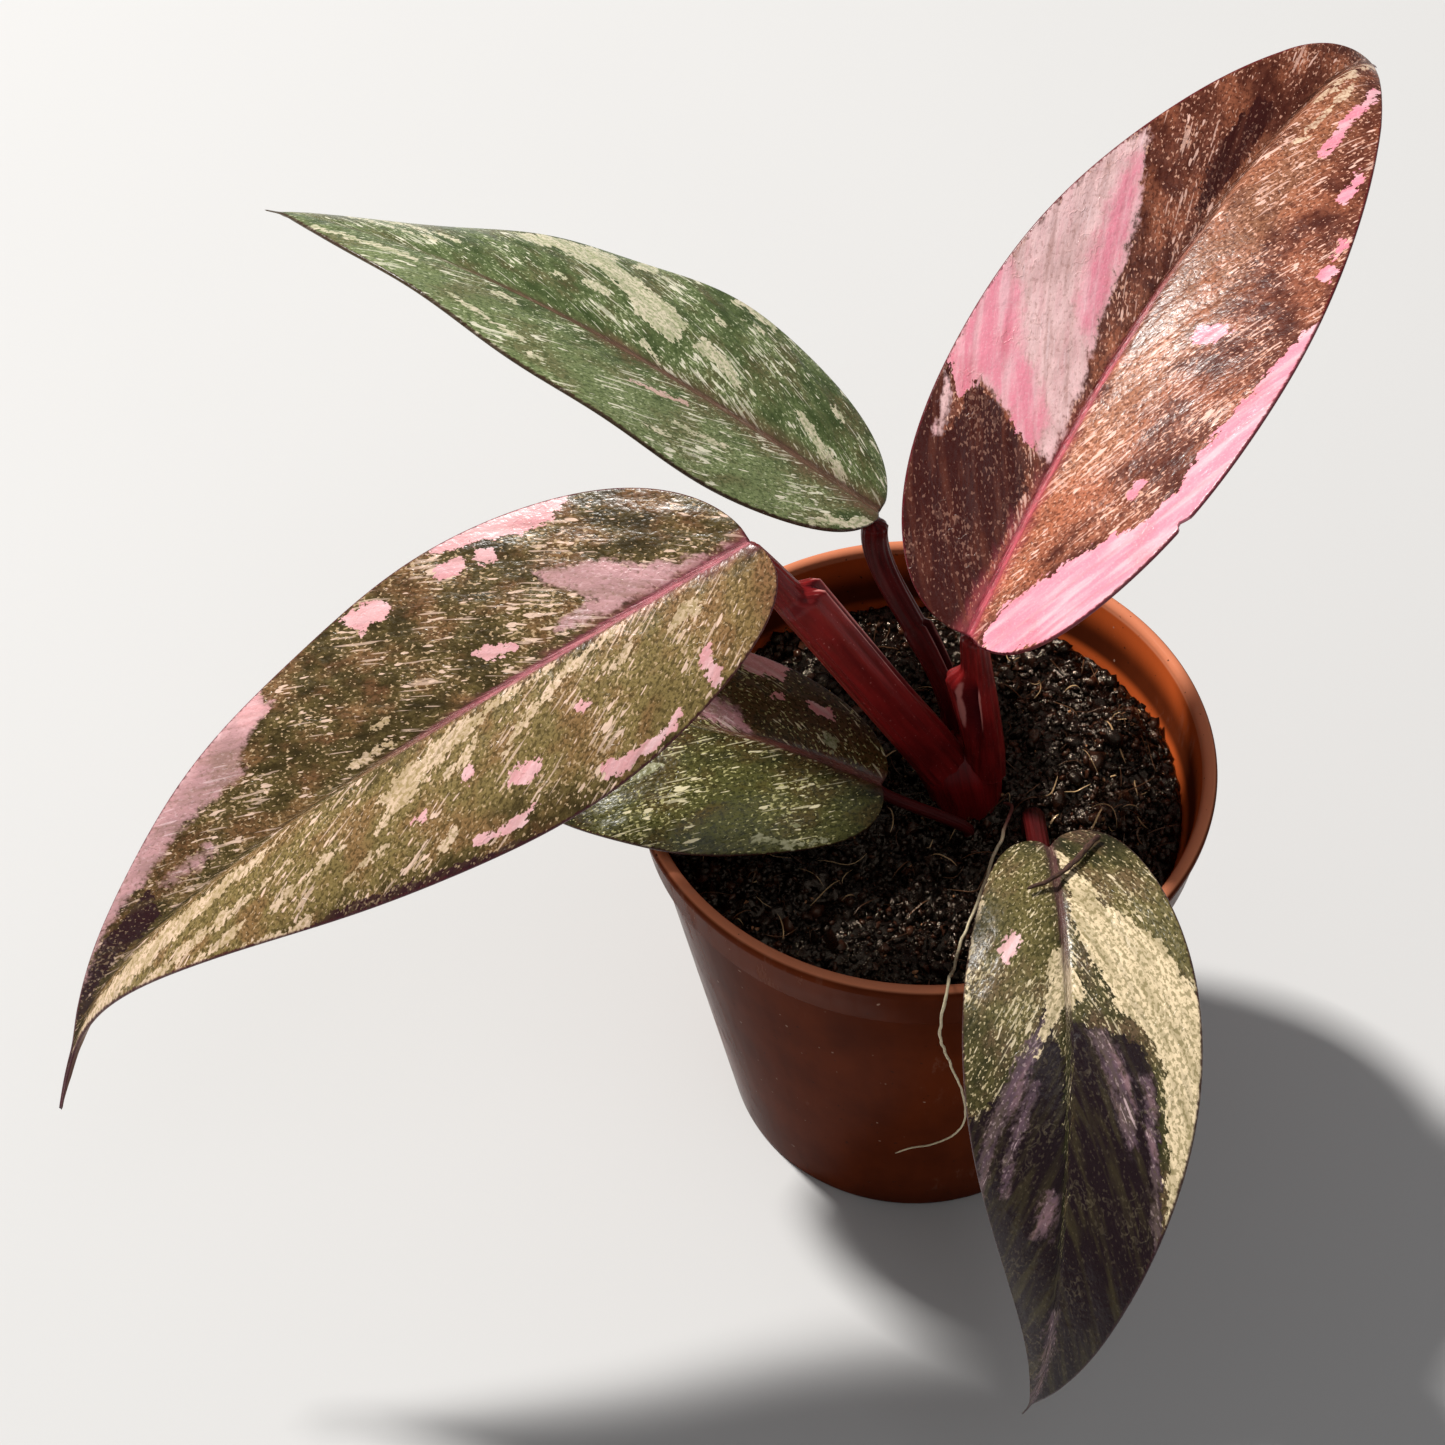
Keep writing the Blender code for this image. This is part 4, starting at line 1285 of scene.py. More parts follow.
@dataclass(frozen=True)
class Stalk:
    """A leaf stalk, as in its solid, with its ridges and the thin edges of its sheath.

    Pairs are (at the blade, at the foot). The inner side faces the plant's middle.
    """

    name: str
    blade: BladeShape
    foot: Triple
    straight: float
    rise: float
    reach: float
    dip: float
    lean: float
    seat: float
    left: Pair
    right: Pair
    outer: Pair
    inner: Pair
    sheath_end: float = 0.0
    sheath_left: Pair = (0.0, 0.0)
    sheath_inner: Pair = (0.0, 0.0)
    sheath_fade: float = 0.012
    # How much painted shade darkens the stalk, for stalks that sit in shadow.
    shade: float = 0.0
    sink: float = 5.0
    ridge: float = 0.05
    ridges: int = 13

    RINGS = 120
    SIDES = 96
    BLADE_DEPTH = 2.3
    CLEARANCE = 0.6
    GROOVE_DEPTH = 1.5
    USUAL_LENGTH = 30.0
    TIP_SHARES = (0.012, 0.022, 0.029)
    TIP_SIZES = (0.86, 0.55, 0.2)
    SKIN_ROUND = 2.2
    SKIN_LENGTH = 45.0

    def route(self, share: Array) -> tuple[Array, Array, Array]:
        """The centre line: a cubic curve out of the foot and over to the blade's underside.

        Args:
            share: Shares of the curve. Below 0 it goes straight on down into the stem, and
                above 1 straight on into the blade.

        Returns:
            Points, directions, and the blade's across direction at its base.
        """
        distance, curve, along, across, up = self.blade.frames()
        seat = int(np.argmin(np.abs(distance - self.seat)))
        start = np.array(self.foot, float) + (0.0, 0.0, self.straight)
        line = unit(curve[seat] - start)
        dip = math.radians(self.dip)
        arrive = along[seat] * math.cos(dip) + up[seat] * math.sin(dip)
        arrive = unit(arrive + (line - arrive) * self.lean)
        leave = unit(np.array([0.0, 0.0, 1.0 - self.lean]) + line * self.lean)
        end = curve[seat] - up[seat] * self.BLADE_DEPTH - arrive * self.CLEARANCE
        a, b, c, d = start, start + leave * self.rise, end - arrive * self.reach, end
        t = np.clip(share, 0.0, 1.0)[:, None]
        points = (1 - t) ** 3 * a + 3 * (1 - t) ** 2 * t * b + 3 * (1 - t) * t**2 * c + t**3 * d
        slope = (1 - t) ** 2 * (b - a) + 2 * (1 - t) * t * (c - b) + t**2 * (d - c)
        forward = unit(slope)
        length = float(np.linalg.norm(end - start))
        past = share[:, None] - t
        return points + forward * past * length, forward, across[0]

    def section(self, share: Array, turn: Array) -> tuple[Array, ...]:
        """Sideways and inward sizes of the sections, and what their skin shows there.

        A section is a flattened round with fine ridges. In the sheath its inner side is split by
        a channel, and the channel's two lips are thin and pale.

        Args:
            share: Share of the length of each ring, as a column.
            turn: Angle of each point round its ring, as a row.

        Returns:
            Sideways and inward places, how much of a pale lip each point is, and how much of
            the channel's inside.
        """
        held = np.clip(share, 0.0, 1.0)
        left, right = between(self.left[::-1], held), between(self.right[::-1], held)
        outer, inner = between(self.outer[::-1], held), between(self.inner[::-1], held)
        sheath = np.zeros_like(held)
        if self.sheath_end > 0.0:
            grown = np.clip(held / self.sheath_end, 0.0, 1.0)
            sheath = 1.0 - ease(held, self.sheath_end - 0.012, self.sheath_end + self.sheath_fade)
            wide = np.maximum(left, between(self.sheath_left[::-1], grown))
            left = between((left, wide), sheath)
            wide = np.maximum(inner, between(self.sheath_inner[::-1], grown))
            inner = between((inner, wide), sheath)
            sheath = sheath * ease(grown, 0.1, 0.7)
        x, y = np.cos(turn), np.sin(turn)
        fold = 1.0 + self.ridge * np.cos(self.ridges * turn + 0.6) / 2.0
        sideways = np.where(x > 0.0, left, right) * x * fold
        inward = np.where(y > 0.0, inner * np.abs(y) ** 0.8, outer * y) * fold
        top = np.where(y > 0.0, 1.0, 0.0)
        dent = self.GROOVE_DEPTH * sheath * np.exp(-((x / 0.34) ** 2)) * top
        lip = np.exp(-(((np.abs(x) - 0.46) / 0.13) ** 2)) * top * sheath
        channel = np.exp(-((x / 0.4) ** 2)) * top * sheath
        return sideways, inward - dent + 0.25 * lip, lip, channel

    def mesh(self) -> Surface:
        """The stalk, swept along its route with its side towards its blade's left half."""
        body = np.linspace(-self.sink / self.USUAL_LENGTH, 1.0, self.RINGS)
        share = np.concatenate([body, 1.0 + np.array(self.TIP_SHARES)])
        close = np.concatenate([np.ones(self.RINGS), self.TIP_SIZES])
        turn = full_turn(self.SIDES)
        points, forward, across = self.route(share)
        sideways, inward, lip, channel = self.section(share[:, None], turn[None, :])
        side = unit(across - forward * (forward @ across)[:, None])
        other = np.cross(forward, side)
        rings = points[:, None] + (sideways * close[:, None])[..., None] * side[:, None]
        rings = rings + (inward * close[:, None])[..., None] * other[:, None]
        # The third part of along carries the stalk's painted shade.
        along = stacked(turn * self.SKIN_ROUND, share[:, None] * self.SKIN_LENGTH, self.shade)
        return Surface.tube(rings, along=along, place=stacked(share[:, None], lip, channel))

    def build(self, material: Material) -> None:
        """Make the stalk, dress it and put it in its solid's place."""
        item = self.mesh().face_outwards().build("stalk_" + self.name.removeprefix("petiole_"))
        place(item, material, "stalk_skin", (self.name,))


@dataclass(frozen=True)
class Stem:
    """The short stem: round at its waist, and a wider oval at its crown."""

    centre: Pair = (5.7, 0.2)
    crown_centre: Pair = (3.8, 1.3)
    crown_half: Pair = (5.9, 4.4)
    radius: float = 4.2
    foot: float = 44.0
    waist: float = 57.5
    top: float = 65.0
    dome: float = 4.5
    lean_back: float = 1.9

    RINGS = 70
    SIDES = 120
    SKIN_ROUND = 5.0

    def mesh(self) -> Surface:
        """Rings from the foot to the crown, with a ridged skin and a domed top.

        Returns:
            The closed stem.
        """
        height = np.linspace(self.foot, self.top + 0.2, self.RINGS)[:, None]
        turn = full_turn(self.SIDES)[None, :]
        grown = ease(height, self.waist - 3.0, self.top + 1.0)
        reach = np.sqrt(np.clip((height - self.foot + 0.2) / 4.0, 0.0, 1.0))
        closing = np.clip((height - self.top + self.dome) / (self.dome + 0.3), 0.0, 1.0)
        reach = reach * np.sqrt(1.0 - 0.985 * closing**2)
        ridges = 1.0 + 0.022 * np.cos(11.0 * turn + 0.8) + 0.02 * lattice_noise(
            3.0 * np.cos(turn) + 7.0 + 0.0 * height, 3.0 * np.sin(turn) + 0.06 * height, seed=3
        )
        x, y = (
            between((self.centre[k], self.crown_centre[k]), grown)
            + between((self.radius, self.crown_half[k]), grown) * reach * ridges * wave(turn)
            for k, wave in enumerate((np.cos, np.sin))
        )
        y = y + self.lean_back * closing**2
        along = stacked(turn * self.SKIN_ROUND, height, 0.0)
        return Surface.tube(stacked(x, y, height), along=along, place=np.zeros_like(along))

    def build(self, material: Material) -> None:
        """Make the stem, dress it and put it in its solid's place."""
        item = self.mesh().face_outwards().build("stem_base")
        place(item, material, "stem_skin", ("stem",))


# Pot and soil


@dataclass(frozen=True)
class Pot:
    """The nursery pot: a tapered wall, a collar with a rolled lip, and drain holes."""

    height: float = 65.0
    foot_radius: float = 24.5
    shoulder_radius: float = 33.0
    rim_radius: float = 35.0
    wall: float = 1.2
    floor: float = 1.8
    collar_height: float = 8.6
    collar_step: float = 0.9
    lip_height: float = 1.8
    lip_proud: float = 0.7
    drain_holes: int = 6
    drain_radius: float = 2.2
    drain_ring: float = 14.0
    drain_turn: float = 0.37

    SEGMENTS = 288
    HOLE_SIDES = 40
    SHARP = 35.0

    def inner_radius(self, height: float) -> float:
        """Radius of the inner wall below the collar, at a height."""
        slope = (self.shoulder_radius - self.foot_radius) / (self.height - self.collar_height)
        return self.foot_radius + slope * height - self.wall

    def profile(self) -> Array:
        """Half section, from the middle of the underside round the lip to the inner floor.

        Corners are given as short arcs: a few points each on a quarter circle.

        Returns:
            Radius and height of each point.
        """
        shoulder = self.height - self.collar_height
        collar = self.shoulder_radius + self.collar_step
        lip = self.height - self.lip_height
        collar_top = self.rim_radius - self.lip_proud
        inner_top = collar_top - self.wall
        wall = np.linspace(0.0, 1.0, 26)[1:]
        widening = self.shoulder_radius - self.foot_radius
        outer_wall = [(self.foot_radius + widening * t, 1.0 + (shoulder - 1.0) * t) for t in wall]
        turn = np.radians(np.linspace(0.0, 180.0, 13))
        middle = (self.rim_radius + inner_top) / 2.0 + 0.12
        half = (self.rim_radius - inner_top) / 2.0 - 0.12
        rise = 0.85
        roll = [
            (middle + half * math.cos(a), self.height - rise + rise * math.sin(a)) for a in turn
        ]
        inner_wall = [
            (self.inner_radius(shoulder - self.wall) * (1 - t) + self.inner_radius(2.8) * t,
             (shoulder - self.wall) * (1 - t) + 2.8 * t)
            for t in np.linspace(0.0, 1.0, 20)
        ]
        points = [
            (0.0, 0.0), (8.0, 0.0), (16.0, 0.0), (self.foot_radius - 0.9, 0.0),
            (self.foot_radius - 0.35, 0.1), (self.foot_radius - 0.1, 0.4), (self.foot_radius, 1.0),
            *outer_wall,
            (self.shoulder_radius + 0.12, shoulder + 0.12),
            (collar - 0.1, shoulder + self.collar_step - 0.12),
            (collar, shoulder + self.collar_step + 0.1),
            (collar_top - 0.02, lip - 0.15), (collar_top + 0.08, lip - 0.02),
            (self.rim_radius - 0.25, lip + 0.12), (self.rim_radius - 0.03, lip + 0.4),
            *roll,
            (inner_top, self.height - 1.4),
            (collar - self.wall, shoulder + self.collar_step),
            *inner_wall,
            (self.inner_radius(self.floor) - 0.35, self.floor + 0.35),
            (self.inner_radius(self.floor) - 1.1, self.floor),
            (16.0, self.floor), (8.0, self.floor), (0.0, self.floor),
        ]
        return np.array(points)

    def lathe(self) -> Surface:
        """The profile turned round Z, closed at both its ends on the axis."""
        profile = self.profile()
        turn = full_turn(self.SEGMENTS)
        radius, height = profile[1:-1, :1], profile[1:-1, 1:]
        x, y = radius * np.cos(turn), radius * np.sin(turn)
        body = Surface.tube(stacked(x, y, height))
        body.points[-2] = (0.0, 0.0, profile[0, 1])
        body.points[-1] = (0.0, 0.0, profile[-1, 1])
        return body

    def drill(self, item: Object) -> None:
        """Cut the drain holes through the floor, and keep the result in the mesh."""
        for k in range(self.drain_holes):
            turn = 2.0 * math.pi * (k + self.drain_turn) / self.drain_holes
            angle = full_turn(self.HOLE_SIDES)
            x = self.drain_ring * math.cos(turn) + self.drain_radius * np.cos(angle)
            y = self.drain_ring * math.sin(turn) + self.drain_radius * np.sin(angle)
            rings = np.stack([stacked(x, y, z) for z in (-2.0, 4.0)])
            cutter = Surface.tube(rings).face_outwards().build(f"drain_cutter_{k}")
            modifier = item.modifiers.new("drain", "BOOLEAN")
            modifier.operation = "DIFFERENCE"
            modifier.solver = "EXACT"
            modifier.object = cutter
            graph = bpy.context.evaluated_depsgraph_get()
            mesh = bpy.data.meshes.new_from_object(item.evaluated_get(graph))
            item.modifiers.clear()
            item.data = mesh
            bpy.data.objects.remove(cutter)
        item.data.shade_smooth()
        item.data.set_sharp_from_angle(angle=math.radians(self.SHARP))

    def build(self) -> None:
        """Make the pot, dress it and put it in its solid's place."""
        item = self.lathe().face_outwards().build("nursery_pot")
        self.drill(item)
        place(item, PlasticFinish().material(), "pot_plastic", ("pot",))


@dataclass(frozen=True)
class Soil:
    """The potting soil: a lumpy bed, loose crumbs and fibres on it, and clumps at the wall."""

    pot: Pot
    top: float = 56.3
    lump: float = 0.75
    edge_radius: float = 31.0
    clumps: tuple[tuple[float, float, float, float], ...] = (
        (25.0, 7.0, 4.2, 3.4), (22.5, -6.0, 2.6, 3.0), (-22.0, -9.0, 1.6, 4.0),
    )
    crumb_count: int = 8200
    fibre_count: int = 260
    seed: int = 11

    SHARP = 75.0
    BED_SIDES = 420
    BED_RINGS = 84

    def height(self, x: Array, y: Array) -> Array:
        """Height of the bed's top: crossing waves of lumps, plus a few clumps near the wall."""
        lumps = (
            np.sin(0.62 * x + 0.35 * y + 0.7)
            + np.sin(-0.41 * x + 0.58 * y + 2.1)
            + 0.7 * np.sin(0.95 * x - 0.83 * y + 4.0)
            + 0.6 * np.sin(1.22 * y + 0.31 * x + 1.3)
        )
        fade = np.clip(1.15 - (np.hypot(x, y) / self.edge_radius) ** 4, 0.0, 1.0)
        height = self.top + self.lump * 0.5 * lumps * fade
        for clump_x, clump_y, rise, spread in self.clumps:
            height = height + rise * np.exp(-((x - clump_x) ** 2 + (y - clump_y) ** 2) / spread**2)
        return height

    def rough_height(self, x: Array, y: Array) -> Array:
        """The bed's top with its grains: two sizes of random bumps, rounded upwards."""
        coarse = np.abs(lattice_noise(0.8 * x + 60.0, 0.8 * y + 60.0, seed=21))
        fine = lattice_noise(2.1 * x + 90.0, 2.1 * y + 90.0, seed=22)
        return self.height(x, y) + 0.8 * (coarse - 0.4) + 0.3 * fine - 0.25

    def bed(self) -> Surface:
        """The filling as a closed body: two rings up its side, then the rings of its top."""
        turn = full_turn(self.BED_SIDES)
        low = self.pot.floor + 0.3
        edge = self.pot.inner_radius(self.top) - 0.15
        side = [self.pot.inner_radius(low) - 2.0, self.pot.inner_radius(low + 2.0) - 0.3, edge]
        top = np.linspace(edge - 0.25, 0.4, self.BED_RINGS)
        radii = np.concatenate([side, top])[:, None]
        x, y = radii * np.cos(turn), radii * np.sin(turn)
        z = self.rough_height(x, y)
        z[0], z[1] = low, low + 2.0
        z[2] = z[3] - 0.3
        bed = Surface.tube(stacked(x, y, z))
        across, back = 1.2 * bed.points[:, :2].T + 30.0
        shade = 0.3 + 0.3 * lattice_noise(across, back, seed=23)
        bed.values = {"grain": stacked(shade, 0.0, 0.0)}
        return bed

    def spots(self, count: int, rng: np.random.Generator, reach: float) -> tuple[Array, Array]:
        """Random places on the bed, evenly over its area and more on the clumps.

        Args:
            count: How many places.
            rng: The source of random numbers.
            reach: The greatest distance from the pot's axis.

        Returns:
            Their x and y.
        """
        radius = reach * np.sqrt(rng.uniform(0.0, 1.0, count))
        turn = rng.uniform(0.0, 2.0 * np.pi, count)
        x, y = radius * np.cos(turn), radius * np.sin(turn)
        share = count // 12
        for k, (clump_x, clump_y, _, spread) in enumerate(self.clumps):
            part = slice(k * share, (k + 1) * share)
            x[part] = clump_x + spread * 0.75 * rng.normal(0.0, 1.0, share)
            y[part] = clump_y + spread * 0.75 * rng.normal(0.0, 1.0, share)
        far = np.maximum(np.hypot(x, y) / reach, 1.0)
        return x / far, y / far

    @staticmethod
    def turns(count: int, rng: np.random.Generator) -> Array:
        """Random turns in space, as three by three matrices from random quaternions."""
        a, b, c, d = unit(rng.normal(0.0, 1.0, (count, 4))).T
        return np.stack([
            1 - 2 * (c * c + d * d), 2 * (b * c - a * d), 2 * (b * d + a * c),
            2 * (b * c + a * d), 1 - 2 * (b * b + d * d), 2 * (c * d - a * b),
            2 * (b * d - a * c), 2 * (c * d + a * b), 1 - 2 * (b * b + c * c),
        ], axis=-1).reshape(count, 3, 3)

    @staticmethod
    def grain_shape() -> tuple[Array, Array]:
        """The points and triangles of a regular body with twenty faces, the start of a crumb."""
        golden = (1.0 + math.sqrt(5.0)) / 2.0
        points = []
        for a, b in ((1.0, golden), (-1.0, golden), (1.0, -golden), (-1.0, -golden)):
            points += [(0.0, a, b), (a, b, 0.0), (b, 0.0, a)]
        points = unit(np.array(points))
        apart = np.linalg.norm(points[:, None] - points[None], axis=-1)
        near = (apart > 0.1) & (apart < 1.2)
        faces = [
            (i, j, k)
            for i in range(12) for j in range(i + 1, 12) for k in range(j + 1, 12)
            if near[i, j] and near[j, k] and near[i, k]
        ]
        faces = np.array(faces)
        a, b, c = (points[faces[:, k]] for k in range(3))
        inwards = np.einsum("ij,ij->i", a, np.cross(b, c)) < 0.0
        faces[inwards] = faces[inwards][:, ::-1]
        return points, faces

    def crumbs(self) -> Surface:
        """Loose crumbs: uneven bodies of twenty faces, stretched, turned and set on the bed."""
        rng = np.random.default_rng(self.seed)
        shape, faces = self.grain_shape()
        count = self.crumb_count
        x, y = self.spots(count, rng, self.pot.inner_radius(self.top) - 0.9)
        size = 0.31 * np.exp(rng.normal(0.0, 0.45, count))
        size = np.clip(size, 0.13, 1.1)
        uneven = 1.0 + rng.uniform(-0.42, 0.4, (count, len(shape)))
        stretch = rng.uniform(0.5, 1.5, (count, 1, 3))
        local = shape[None] * uneven[..., None] * stretch * size[:, None, None]
        local = np.einsum("nij,nkj->nki", self.turns(count, rng), local)
        lift = rng.uniform(-0.1, 0.75, count) * size
        centre = stacked(x, y, self.rough_height(x, y) + lift)
        shade = rng.uniform(0.0, 1.0, count) ** 1.6
        kind = (rng.uniform(0.0, 1.0, count) > 0.95) & (size < 0.3)
        return Surface.grains(local + centre[:, None], faces, shade, kind)

    def fibres(self) -> Surface:
        """Coir fibres: thin three-sided strands, each a bow over the bed.

        Returns:
            All the fibres as one piece.
        """
        rng = np.random.default_rng(self.seed + 1)
        count, steps = self.fibre_count, 8
        x, y = self.spots(count, rng, self.pot.inner_radius(self.top) - 2.6)
        heading = rng.uniform(0.0, 2.0 * np.pi, count)
        length = np.clip(rng.normal(3.4, 1.8, count), 1.0, 8.0)
        bend = rng.normal(0.0, 0.9, count)
        t = np.linspace(-0.5, 0.5, steps)[None, :]
        angle = heading[:, None] + bend[:, None] * t
        step = (length / steps)[:, None]
        path_x = x[:, None] + np.cumsum(np.cos(angle) * step, axis=1)
        path_y = y[:, None] + np.cumsum(np.sin(angle) * step, axis=1)
        reach = self.pot.inner_radius(self.top) - 0.8
        far = np.maximum(np.hypot(path_x, path_y) / reach, 1.0)
        path_x, path_y = path_x / far, path_y / far
        arch = rng.uniform(-0.2, 1.3, count)[:, None] * (1.0 - (2.0 * t) ** 2)
        slant = rng.normal(0.0, 0.9, count)[:, None] * t
        level = self.height(path_x, path_y) + 0.35 + arch + np.abs(slant)
        route = stacked(path_x, path_y, level)
        forward = unit(np.gradient(route, axis=1))
        side = unit(np.cross(forward, np.array([0.21, 0.13, 0.97])))
        other = np.cross(forward, side)
        turn = np.radians([90.0, 210.0, 330.0])
        taper = 1.0 - 0.75 * np.abs(2.0 * t) ** 3
        radius = np.clip(rng.normal(0.07, 0.03, count), 0.04, 0.15)[:, None] * taper
        ring = np.cos(turn)[:, None] * side[:, :, None] + np.sin(turn)[:, None] * other[:, :, None]
        points = (route[:, :, None] + ring * radius[..., None, None]).reshape(count, -1, 3)
        last = steps * 3 - 1
        caps = np.array([(0, 1, 2), (last - 2, last, last - 1)])
        faces = np.concatenate([grid_triangles(steps, 3, wrap=True), caps])
        shade = rng.uniform(0.0, 1.0, count)
        kind = rng.uniform(0.0, 1.0, count) > 0.72
        return Surface.grains(points, faces, shade, kind)

    def build(self) -> None:
        """Make the bed, crumbs and fibres, and put them in the solid's place."""
        group = GrainGroup().build()
        peat = PEAT_FINISH.material(group)
        for surface, name, material, nodes in (
            (self.bed(), "soil_bed", peat, ("soil",)),
            (self.crumbs(), "soil_crumbs", peat, ()),
            (self.fibres(), "soil_fibres", COIR_FINISH.material(group), ()),
        ):
            item = surface.face_outwards().build(name, self.SHARP)
            place(item, material, "potting_soil", nodes)


# Root and twig


@dataclass(frozen=True)
class Strand:
    """A thin root or twig along a route, uneven in thickness, tapering to its end."""

    name: str
    node: str
    finish: StrandFinish
    radius: float
    end_radius: float
    unevenness: float
    wander: float
    seed: int

    SIDES = 14
    STEPS = 9

    def build(self, points: tuple[Triple, ...] | Array) -> None:
        """Sweep the strand along the points, dress it and put it in its solid's place.

        Args:
            points: The points that it passes through.
        """
        route = smooth_route(points, self.STEPS)
        travel = np.concatenate([[0.0], np.cumsum(np.linalg.norm(np.diff(route, axis=0), axis=1))])
        share = travel / travel[-1]
        sway_x, sway_y = (
            lattice_noise(travel * 0.7, travel * 0.0 + k, self.seed + k) for k in (1, 2)
        )
        held = ease(share, 0.0, 0.05) * (1.0 - ease(share, 0.97, 1.0))
        sway = stacked(sway_x, sway_y * 0.6, sway_x * sway_y)
        route = route + sway * (self.wander * held)[:, None]
        turn = full_turn(self.SIDES)[None, :]
        around = 1.4 * np.cos(turn) + 5.0
        lumps = lattice_noise(travel[:, None] * 1.3 + 0.0 * turn, around, self.seed)
        radius = between((self.radius, self.end_radius), share**1.5)
        radius = radius * (1.0 - 0.5 * ease(share, 0.985, 1.0))
        radius = radius * (0.7 + 0.3 * ease(share, 0.0, 0.01))
        radii = radius[:, None] * (1.0 + self.unevenness * lumps)
        along = stacked(travel[:, None], turn * 0.4, share[:, None])
        tube = Surface.tube(swept_rings(route, radii, self.SIDES), along=along)
        item = tube.face_outwards().build(self.name)
        place(item, self.finish.material(), self.finish.slot, (self.node,))


# Floor, light and camera


@dataclass(frozen=True)
class Lamp:
    """A square soft light that faces the plant, with its azimuth counted from +X."""

    name: str
    azimuth: float
    elevation: float
    away: float
    side: float
    watts: float
    colour: Colour

    AIM = Vector((0.0, 0.0, 60.0))

    def build(self) -> None:
        """Put the light in its place and turn it to the plant."""
        light = bpy.data.lights.new(self.name, "AREA")
        light.shape = "SQUARE"
        light.size = self.side * MM
        light.energy = self.watts
        light.color = self.colour
        item = add_object(self.name, light)
        a, e = math.radians(self.azimuth), math.radians(self.elevation)
        towards = Vector((math.cos(e) * math.cos(a), math.cos(e) * math.sin(a), math.sin(e)))
        item.location = (self.AIM + towards * self.away) * MM
        item.rotation_euler = towards.to_track_quat("Z", "Y").to_euler()


@dataclass(frozen=True)
class Studio:
    """A plain pale floor, soft light from the back left, a weak fill, and the camera."""

    target: Triple = (-23.65, 0.0, 71.9)
    distance: float = 317.0
    elevation: float = 50.1
    roll: float = -2.65
    focal_pixels: float = 2700.0
    frame_pixels: float = 1445.0
    sensor: float = 36.0
    sky: float = 0.20
    floor_tones: tuple[Colour, Colour] = ((0.60, 0.60, 0.60), (0.64, 0.64, 0.64))
    floor_roughness: float = 0.9
    key: Lamp = Lamp("key", 143.0, 54.0, 2500.0, 220.0, 84.0, (1.0, 0.975, 0.94))
    fill: Lamp = Lamp("fill", -62.0, 64.0, 2000.0, 900.0, 3.0, (0.95, 0.97, 1.0))

    def camera(self) -> None:
        """Place the camera where the photograph was taken from."""
        elevation, roll = math.radians(self.elevation), math.radians(self.roll)
        back = Vector((0.0, -math.cos(elevation), math.sin(elevation)))
        right = (-back).cross(Vector((0.0, 0.0, 1.0))).normalized()
        up = right.cross(-back)
        side = math.cos(roll) * right + math.sin(roll) * up
        top = math.cos(roll) * up - math.sin(roll) * right
        lens = bpy.data.cameras.new("camera")
        lens.lens = self.sensor * self.focal_pixels / self.frame_pixels
        lens.sensor_width = self.sensor
        lens.clip_start = 0.01
        item = add_object("camera", lens)
        matrix = Matrix((side, top, back)).transposed().to_4x4()
        matrix.translation = (Vector(self.target) + back * self.distance) * MM
        item.matrix_world = matrix
        bpy.context.scene.camera = item

    def floor(self) -> None:
        """A wide pale floor under the pot."""
        size, half = 41, 3000.0
        line = np.linspace(-half, half, size)
        x, y = np.meshgrid(line, line, indexing="ij")
        points = stacked(x, y, -0.05).reshape(-1, 3)
        item = Surface(points, grid_triangles(size, size)).build("floor")
        material, g, shader = new_material("pale_floor")
        cloud = g.noise(g.object_place(), (0.004, 0.004, 0.004), detail=3.0)
        colour = g.blend(cloud, *(rgba(tone) for tone in self.floor_tones))
        g.feed(shader.inputs["Base Color"], colour)
        shader.inputs["Roughness"].default_value = self.floor_roughness
        item.data.materials.append(material)

    def build(self) -> None:
        """Set up floor, sky, lights and camera."""
        world = bpy.data.worlds.new("studio")
        world.use_nodes = True
        sky = world.node_tree.nodes["Background"]
        sky.inputs[0].default_value = rgba((1.0, 1.0, 1.0))
        sky.inputs[1].default_value = self.sky
        bpy.context.scene.world = world
        self.floor()
        self.key.build()
        self.fill.build()
        bpy.context.scene.view_settings.view_transform = "Standard"
        self.camera()


# The plant's own sizes, markings and colours

UPRIGHT = BladeShape(
    name="blade_upright", base=(4.2, -3.4, 88.9), length=91.0, tail=1.5, heading=(57.4, 42.4),
    pitch=(29.5, -1.2), droop=2.3, nod=-38.0, roll=(-10.3, 25.4), twist=1.0, hook=5.0,
    half_widths=(16.8, 22.0), taper=(0.46, 0.89), fold=(19.5, 5.0), curls=(-5.2, 6.1),
    lobes=(0.2, 2.3), waves=(0.35, 2.5),
)
BACK = BladeShape(
    name="blade_back", base=(-4.1, 14.6, 91.0), length=79.0, tail=2.0, heading=(161.6, 155.5),
    pitch=(32.6, -5.9), droop=2.0, nod=0.0, roll=(0.0, 24.0), twist=1.0, hook=-3.5,
    half_widths=(15.0, 19.4), taper=(0.61, 1.02), fold=(10.0, 0.5), curls=(-6.5, -21.9),
    lobes=(0.2, 1.2), waves=(0.4, 3.0),
)
LEFT = BladeShape(
    name="blade_left", base=(-19.9, -7.4, 110.4), length=104.3, tail=8.0, heading=(195.0, 191.2),
    pitch=(-25.6, -58.5), droop=2.6, nod=0.0, roll=(-18.0, -19.3), twist=1.0, hook=14.8,
    half_widths=(16.7, 18.2), taper=(0.59, 1.29), fold=(6.5, 38.5), curls=(-23.4, -10.0),
    lobes=(3.5, 0.2), waves=(0.4, 3.0),
)
